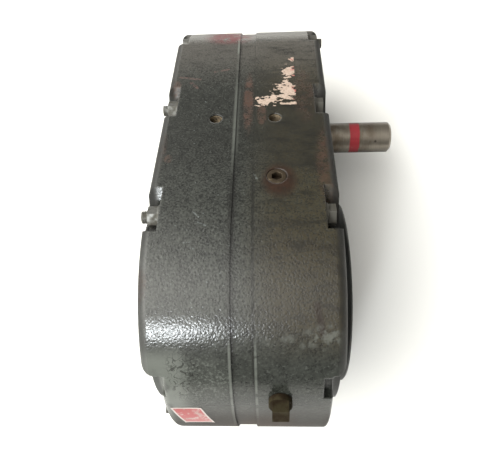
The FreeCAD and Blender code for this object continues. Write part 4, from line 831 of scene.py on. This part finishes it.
class REDUCER_OT_cut_threads(bpy.types.Operator):
    """Cut the threads of the torque arm holes and of the bolt tips beyond the nuts"""

    bl_idname = "reducer.cut_threads"
    bl_label = "Cut threads"

    def execute(self, context):
        metal = context.scene.reducer.metal
        sizes = context.scene.reducer.thread
        holes = [mount for mount in frame["record"]["mounts"] if mount["kind"] == "threaded_hole"]
        if not holes:
            raise RuntimeError("The record has no threaded holes")
        places = [upright_at(mount["pos_m"], mount["axis"]) for mount in holes]
        root = holes[0]["dims"]["r_mm"] / 1000
        half = holes[0]["dims"]["length_mm"] / 2000
        mesh = thread_mesh("arm_hole_threads", places, root + sizes.overlap, root - sizes.hole_depth,
                           sizes.hole_pitch, sizes.hole_pitch - half, half - sizes.hole_pitch * 0.4)
        oil = context.scene.reducer.casing.oil
        oiled = worn_metal("cut_thread", metal.thread, oil, 0.35, 0.0004, soil=soiled_at_right)
        add_piece("arm_hole_threads", mesh, "casing", oiled)

        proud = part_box("casing_bolts")[1].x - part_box("casing_nuts")[1].x
        mesh = thread_mesh("bolt_tip_threads", bolt_tips(), sizes.bolt_radius - sizes.overlap,
                           sizes.bolt_radius + sizes.bolt_depth, sizes.bolt_pitch,
                           sizes.bolt_pitch / 2 - proud, -sizes.bolt_pitch / 2)
        add_piece("bolt_tip_threads", mesh, "casing", bpy.data.materials["dull_zinc"])
        return {"FINISHED"}


def oiled_shaft(metal):
    """Turned steel with an oil film, a red paint band, one dark pit, painted shade on its flanks and a painted
    highlight near its end.
    """
    finish = Finish.named("oiled_shaft")
    rings = finish.clouds(0.0006, 2.0, place=finish.stretched((1.0, 60.0, 60.0)))
    film = finish.clouds(0.018, 5.0, 0.6, finish.stretched((1.0, 1.6, 1.6)))
    # Partly wear, partly a painted highlight: the end of the shaft carries less oil film and is lighter.
    rubbed_and_lit = finish.x.rising(0.160, 0.185)
    colour = finish.blend(metal.steel, metal.oil, film.rising(0.3, 0.66) * (0.8 - rubbed_and_lit * 0.6))
    tone = 0.75 + rings * 0.4
    grey = finish.node("ShaderNodeCombineColor", sockets={"Red": tone, "Green": tone, "Blue": tone})
    colour = finish.shade(colour, grey)

    wander = (finish.clouds(0.012, 3.0) - 0.5) * 0.003
    half = metal.band_width / 2
    from_middle = abs(finish.x + wander - (metal.band_start + half))
    band = from_middle.falling(half - 0.0008, half + 0.0008)
    band = band * finish.clouds(0.004, 4.0).rising(0.22, 0.36)
    colour = finish.blend(colour, metal.band_red, band)
    mount = next(mount for mount in frame["record"]["mounts"] if mount["name"] == "input_shaft")
    _, axis_y, axis_z = mount["pos_m"]
    radius = mount["dims"]["r_mm"] / 1000
    # Painted shade: the flanks, away from the top, are darkened with the dirt colour.
    upward = Vector((0.0, -math.sin(SHAFT_TOP_TURN), math.cos(SHAFT_TOP_TURN)))
    lean = ((finish.y - axis_y) * upward.y + (finish.z - axis_z) * upward.z) / radius
    painted_flank_shade = lean.falling(0.15, 0.75)
    colour = finish.blend(colour, metal.shaft_dirt_and_shade, painted_flank_shade * 0.8)
    pit_at = Vector((metal.pit_x, axis_y - radius * math.sin(PIT_TURN), axis_z + radius * math.cos(PIT_TURN)))
    pit = finish.compare("DISTANCE", finish.place, pit_at).falling(0.0008, 0.0024)
    colour = finish.blend(colour, metal.shaft_dirt_and_shade, pit * 0.9)
    return finish.close(
        Base_Color=colour,
        Metallic=(0.85 - band * 0.84 - pit * 0.5) * (1.0 - painted_flank_shade * 0.6),
        Roughness=0.33 + film * 0.2 + band * 0.2 - rubbed_and_lit * 0.08,
        Normal=finish.bumped(rings - pit * 2.0, 0.00006, 0.5, 0.0008),
    )


class REDUCER_OT_dress_shaft(bpy.types.Operator):
    """Finish the input shaft with oil, turning marks and its red band"""

    bl_idname = "reducer.dress_shaft"
    bl_label = "Dress input shaft"

    def execute(self, context):
        dress(("input_pinion_shaft",), oiled_shaft(context.scene.reducer.metal))
        return {"FINISHED"}


class REDUCER_OT_dress_drive(bpy.types.Operator):
    """Give hub, bushes, gears, keys and bearings their metals"""

    bl_idname = "reducer.dress_drive"
    bl_label = "Dress drive"

    def execute(self, context):
        metal = context.scene.reducer.metal
        dress(HUB_NODES, worn_metal("machined_iron", metal.iron, metal.oil, 0.4, 0.001))
        dress(GEAR_NODES, worn_metal("hardened_gear_steel", metal.steel, metal.oil, 0.3, 0.0006))
        dress(BEARING_NODES, worn_metal("bearing_steel", metal.steel, metal.steel, 0.16, 0.0006, 0.97))
        return {"FINISHED"}


def sheet_stuff(name, base, grain, contrast, roughness):
    """Rubber or paper: a dull colour with a fine grain."""
    finish = Finish.named(name)
    fine = finish.clouds(grain, 3.0)
    wide = finish.clouds(grain * 14, 3.0)
    colour = finish.blend(base, dimmed(base, contrast), (fine * 0.5 + wide * 0.5).rising(0.35, 0.65))
    return finish.close(
        Base_Color=colour,
        Roughness=roughness + wide * 0.15,
        Normal=finish.bumped(fine, grain * 0.15, 0.5),
    )


class REDUCER_OT_dress_seals(bpy.types.Operator):
    """Give seals and gaskets their rubber and paper"""

    bl_idname = "reducer.dress_seals"
    bl_label = "Dress seals"

    def execute(self, context):
        metal = context.scene.reducer.metal
        dress(SEAL_NODES, sheet_stuff("seal_rubber", metal.rubber, 0.0012, 0.6, 0.5))
        dress(GASKET_NODES, sheet_stuff("gasket_paper", metal.paper, 0.0009, 0.55, 0.75))
        return {"FINISHED"}


def label_print(label):
    """A red field in a white border, scuffed and faded. It carries no words or signs."""
    finish = Finish.named("label_print")
    across = finish.node("ShaderNodeAttribute", {"attribute_name": "across"}, output="Fac")
    along = finish.node("ShaderNodeAttribute", {"attribute_name": "along"}, output="Fac")
    rim = (abs(across) - label.width / 2).or_more(abs(along) - label.height / 2)
    scuffs = finish.clouds(0.006, 5.0, 0.7)
    field = (-rim).rising(label.border * 0.8, label.border * 1.2)
    worn = scuffs.rising(0.52, 0.62).or_more(across.rising(0.0, label.width / 2) * scuffs.rising(0.42, 0.56))
    colour = finish.blend(label.white, label.red, field * (1.0 - worn * 0.75))
    dirt = finish.clouds(0.012, 4.0).rising(0.45, 0.8)
    colour = finish.blend(colour, label.dirt, dirt * 0.3)
    return finish.close(
        Base_Color=colour,
        Roughness=0.34 + worn * 0.3,
        Normal=finish.bumped(scuffs, 0.0001, 0.3),
    )


def label_mesh(label, columns=16, rows=20):
    """A thin rectangle bent round the big end, with its corners a little lifted."""
    form = bmesh.new()
    across_layer = form.verts.layers.float.new("across")
    along_layer = form.verts.layers.float.new("along")
    grid = []
    for row in range(rows + 1):
        for column in range(columns + 1):
            across = (column / columns - 0.5) * label.width
            along = (row / rows - 0.5) * label.height
            shift = across + along * math.tan(label.slant)
            angle = label.angle + along / BIG_END_RADIUS
            corner = abs(column / columns - 0.5) * abs(row / rows - 0.5) * 4
            radius = BIG_END_RADIUS + label.lift + label.lift * corner ** 6 * 2
            place = (label.centre_x + shift, -radius * math.sin(angle), radius * math.cos(angle))
            vertex = form.verts.new(place)
            vertex[across_layer] = across
            vertex[along_layer] = along
            grid.append(vertex)
    for row in range(rows):
        for column in range(columns):
            first = row * (columns + 1) + column
            corners = (first, first + columns + 1, first + columns + 2, first + 1)
            form.faces.new([grid[number] for number in corners])
    bmesh.ops.recalc_face_normals(form, faces=form.faces)
    if form.faces[0].normal.z < 0:
        bmesh.ops.reverse_faces(form, faces=form.faces)
    bmesh.ops.solidify(form, geom=form.faces, thickness=label.lift / 2)
    return as_mesh("label", form)


class REDUCER_OT_stick_label(bpy.types.Operator):
    """Stick the blank red label on the big end"""

    bl_idname = "reducer.stick_label"
    bl_label = "Stick label"

    def execute(self, context):
        label = context.scene.reducer.label
        add_piece("label", label_mesh(label), "casing", label_print(label))
        return {"FINISHED"}


# Scraps of the torn sticker on the upper side: middle and half sizes in X and Y, in metres.
PAPER_SCRAPS = (
    ((0.0560, 0.2785), (0.0060, 0.0048)),
    ((0.0510, 0.2540), (0.0085, 0.0110)),
    ((0.0465, 0.2190), (0.0120, 0.0190)),
    ((0.0215, 0.2020), (0.0105, 0.0075)),
    ((0.0310, 0.2060), (0.0060, 0.0075)),
    ((0.0480, 0.1975), (0.0095, 0.0020)),
)
# The tear's noise: its scale in X and Y, the fall and the gap of its octaves, and their number.
TEAR_SCALE = (0.6, 1.2)
TEAR_FALL, TEAR_GAP, TEAR_OCTAVES = 0.8, 2.0, 5
# Holes in the paper: how much finer than the tear they are, from what noise they open, and how fast.
HOLE_SCALE, HOLE_START, HOLE_GAIN = 2.3, 0.22, 1.6


def scrap_depth(torn, x, y):
    """Above zero inside a scrap. Noise tears its outline."""
    depth = max(1.0 - math.hypot((x - centre[0]) / half[0], (y - centre[1]) / half[1])
                for centre, half in PAPER_SCRAPS)
    spot = Vector((x / torn.grain * TEAR_SCALE[0], y / torn.grain * TEAR_SCALE[1], torn.seed))
    tear = noise.fractal(spot, TEAR_FALL, TEAR_GAP, TEAR_OCTAVES, noise_basis="PERLIN_ORIGINAL")
    holes = max(0.0, noise.noise(spot * HOLE_SCALE) - HOLE_START) * HOLE_GAIN
    return min(depth + tear * torn.raggedness - holes - 0.02, torn.cut_x - x)


def paper_mesh(torn):
    """Grid cells where the paper still sticks, with the outline drawn in to the tear."""
    low, high = [], []
    for axis in (0, 1):
        low.append(min(centre[axis] - half[axis] for centre, half in PAPER_SCRAPS) - 2 * torn.cell)
        high.append(max(centre[axis] + half[axis] for centre, half in PAPER_SCRAPS) + 2 * torn.cell)
    columns, rows = [math.ceil((last - first) / torn.cell) for first, last in zip(low, high)]
    form = bmesh.new()
    points = {}

    def corner(column, row):
        if (column, row) not in points:
            x = low[0] + column * torn.cell
            y = low[1] + row * torn.cell
            points[column, row] = form.verts.new((x, y, 0.0))
        return points[column, row]

    for row in range(rows):
        for column in range(columns):
            middle_x = low[0] + (column + 0.5) * torn.cell
            middle_y = low[1] + (row + 0.5) * torn.cell
            if scrap_depth(torn, middle_x, middle_y) > 0:
                steps = ((0, 0), (1, 0), (1, 1), (0, 1))
                form.faces.new([corner(column + across, row + along) for across, along in steps])
    smooth = [vertex for vertex in form.verts if vertex.is_boundary]
    for _ in range(2):
        bmesh.ops.smooth_vert(form, verts=smooth, factor=0.5, use_axis_x=True, use_axis_y=True)
    for vertex in form.verts:
        vertex.co.z = (BIG_END_RADIUS - vertex.co.y * UPPER_NORMAL.y) / UPPER_NORMAL.z
        vertex.co += UPPER_NORMAL * torn.thickness
    bmesh.ops.recalc_face_normals(form, faces=form.faces)
    bmesh.ops.solidify(form, geom=form.faces, thickness=torn.thickness)
    return as_mesh("torn_paper", form)


def torn_paper(torn):
    """Soiled paper fibres, with traces of red along the cut edge."""
    finish = Finish.named("torn_paper")
    fibres = finish.clouds(0.0025, 5.0, 0.7)
    soil = finish.clouds(0.008, 4.0)
    colour = finish.blend(torn.white, torn.tan, fibres.rising(0.45, 0.7) * 0.8)
    print_left = finish.x.rising(0.050, 0.057) * soil.rising(0.5, 0.6)
    colour = finish.blend(colour, torn.red, print_left * 0.8)
    return finish.close(
        Base_Color=colour,
        Roughness=0.8 - soil * 0.2,
        Normal=finish.bumped(fibres, 0.0002, 0.5),
    )


class REDUCER_OT_leave_paper(bpy.types.Operator):
    """Leave the scraps of a torn sticker on the upper side"""

    bl_idname = "reducer.leave_paper"
    bl_label = "Leave torn paper"

    def execute(self, context):
        torn = context.scene.reducer.torn
        add_piece("torn_paper", paper_mesh(torn), "casing", torn_paper(torn))
        return {"FINISHED"}


def floor_material(stage):
    """Pale, with a faint change of tone."""
    finish = Finish.named("pale_floor")
    tone = finish.clouds(0.8, 2.0)
    colour = finish.blend(stage.floor, dimmed(stage.floor, 0.97), tone)
    return finish.close(Base_Color=colour, Roughness=0.7 + tone * 0.1)


def add_floor(stage):
    half = stage.floor_size / 2
    level = CAD_BOX[0].z
    mesh = bpy.data.meshes.new("floor")
    corners = [(-half, -half, level), (half, -half, level), (half, half, level), (-half, half, level)]
    mesh.from_pydata(corners, [], [(0, 1, 2, 3)])
    mesh.materials.append(floor_material(stage))
    floor = add_object("floor", mesh)


def add_window(stage):
    """A small soft light that makes the highlight on the crown of the big end."""
    lamp = bpy.data.lights.new("window", "AREA")
    lamp.size = stage.key_size
    lamp.energy = stage.key_power
    lamp.color = stage.key_colour
    light = add_object("window", lamp)
    crown = Vector((0.0, 0.0, BIG_END_RADIUS))
    light.location = crown + Vector(stage.key_from).normalized() * stage.key_distance
    light.rotation_euler = (crown - light.location).to_track_quat("-Z", "Y").to_euler()
    light.visible_camera = False


def soft_room(stage):
    """A light tent that is brightest overhead on the left, with a second bright part lower down."""
    room = Finish(bpy.data.worlds.new("soft_room"), "Generated")

    def bright_part(source, focus):
        toward = Vector(source).normalized()
        return room.compare("DOT_PRODUCT", room.place, toward).or_more(0.0).maths("POWER", focus)

    overhead = bright_part(stage.glow_from, stage.glow_focus) * stage.glow
    strength = overhead + bright_part(stage.side_from, stage.side_focus) * stage.side_glow + stage.fill
    tent = room.node("ShaderNodeBackground", sockets={"Color": stage.sky, "Strength": strength})
    room.node("ShaderNodeOutputWorld", sockets={"Surface": tent})
    return room.owner


def add_camera(stage):
    lens = bpy.data.cameras.new("camera")
    lens.sensor_width = SENSOR_MM
    lens.lens = stage.focal_px * SENSOR_MM / IMAGE_WIDTH_PX
    lens.clip_start = 0.01
    camera = add_object("camera", lens)
    heading = Matrix.Rotation(-stage.camera_yaw, 4, "Z")
    tilt = Matrix.Rotation(math.pi / 2 - stage.camera_pitch, 4, "X")
    tip = Matrix.Rotation(-stage.camera_roll, 4, "Z")
    camera.matrix_world = Matrix.Translation(stage.camera_place) @ heading @ tilt @ tip
    bpy.context.scene.camera = camera


class REDUCER_OT_set_stage(bpy.types.Operator):
    """Lay the floor, hang the lights and set up the photograph's camera"""

    bl_idname = "reducer.set_stage"
    bl_label = "Set stage"

    def execute(self, context):
        stage = context.scene.reducer.stage
        add_floor(stage)
        add_window(stage)
        add_camera(stage)
        context.scene.world = soft_room(stage)
        context.scene.view_settings.view_transform = "Standard"
        return {"FINISHED"}


OPERATORS = (
    REDUCER_OT_set_stage,
    REDUCER_OT_paint_casing,
    REDUCER_OT_paint_covers,
    REDUCER_OT_dress_fasteners,
    REDUCER_OT_cut_threads,
    REDUCER_OT_dress_shaft,
    REDUCER_OT_dress_drive,
    REDUCER_OT_dress_seals,
    REDUCER_OT_stick_label,
    REDUCER_OT_leave_paper,
)


class REDUCER_PT_panel(bpy.types.Panel):
    """Lists the steps that dress the reducer"""

    bl_idname = "REDUCER_PT_panel"
    bl_label = "Shaft mount reducer"
    bl_space_type = "VIEW_3D"
    bl_region_type = "UI"
    bl_category = "Reducer"

    def draw(self, context):
        for operator in OPERATORS:
            self.layout.operator(operator.bl_idname)


CLASSES = (CasingPaint, MetalFinish, ThreadSizes, LabelSizes, PaperSizes, StageSettings, ReducerSettings,
           *OPERATORS, REDUCER_PT_panel)


def register():
    for kind in CLASSES:
        bpy.utils.register_class(kind)
    bpy.types.Scene.reducer = PointerProperty(type=ReducerSettings)


def unregister():
    del bpy.types.Scene.reducer
    for kind in reversed(CLASSES):
        bpy.utils.unregister_class(kind)


def main():
    register()
    bpy.ops.reducer.set_stage()
    bpy.ops.reducer.paint_casing()
    bpy.ops.reducer.paint_covers()
    bpy.ops.reducer.dress_fasteners()
    bpy.ops.reducer.cut_threads()
    bpy.ops.reducer.dress_shaft()
    bpy.ops.reducer.dress_drive()
    bpy.ops.reducer.dress_seals()
    bpy.ops.reducer.stick_label()
    bpy.ops.reducer.leave_paper()


if __name__ == "__main__":
    main()
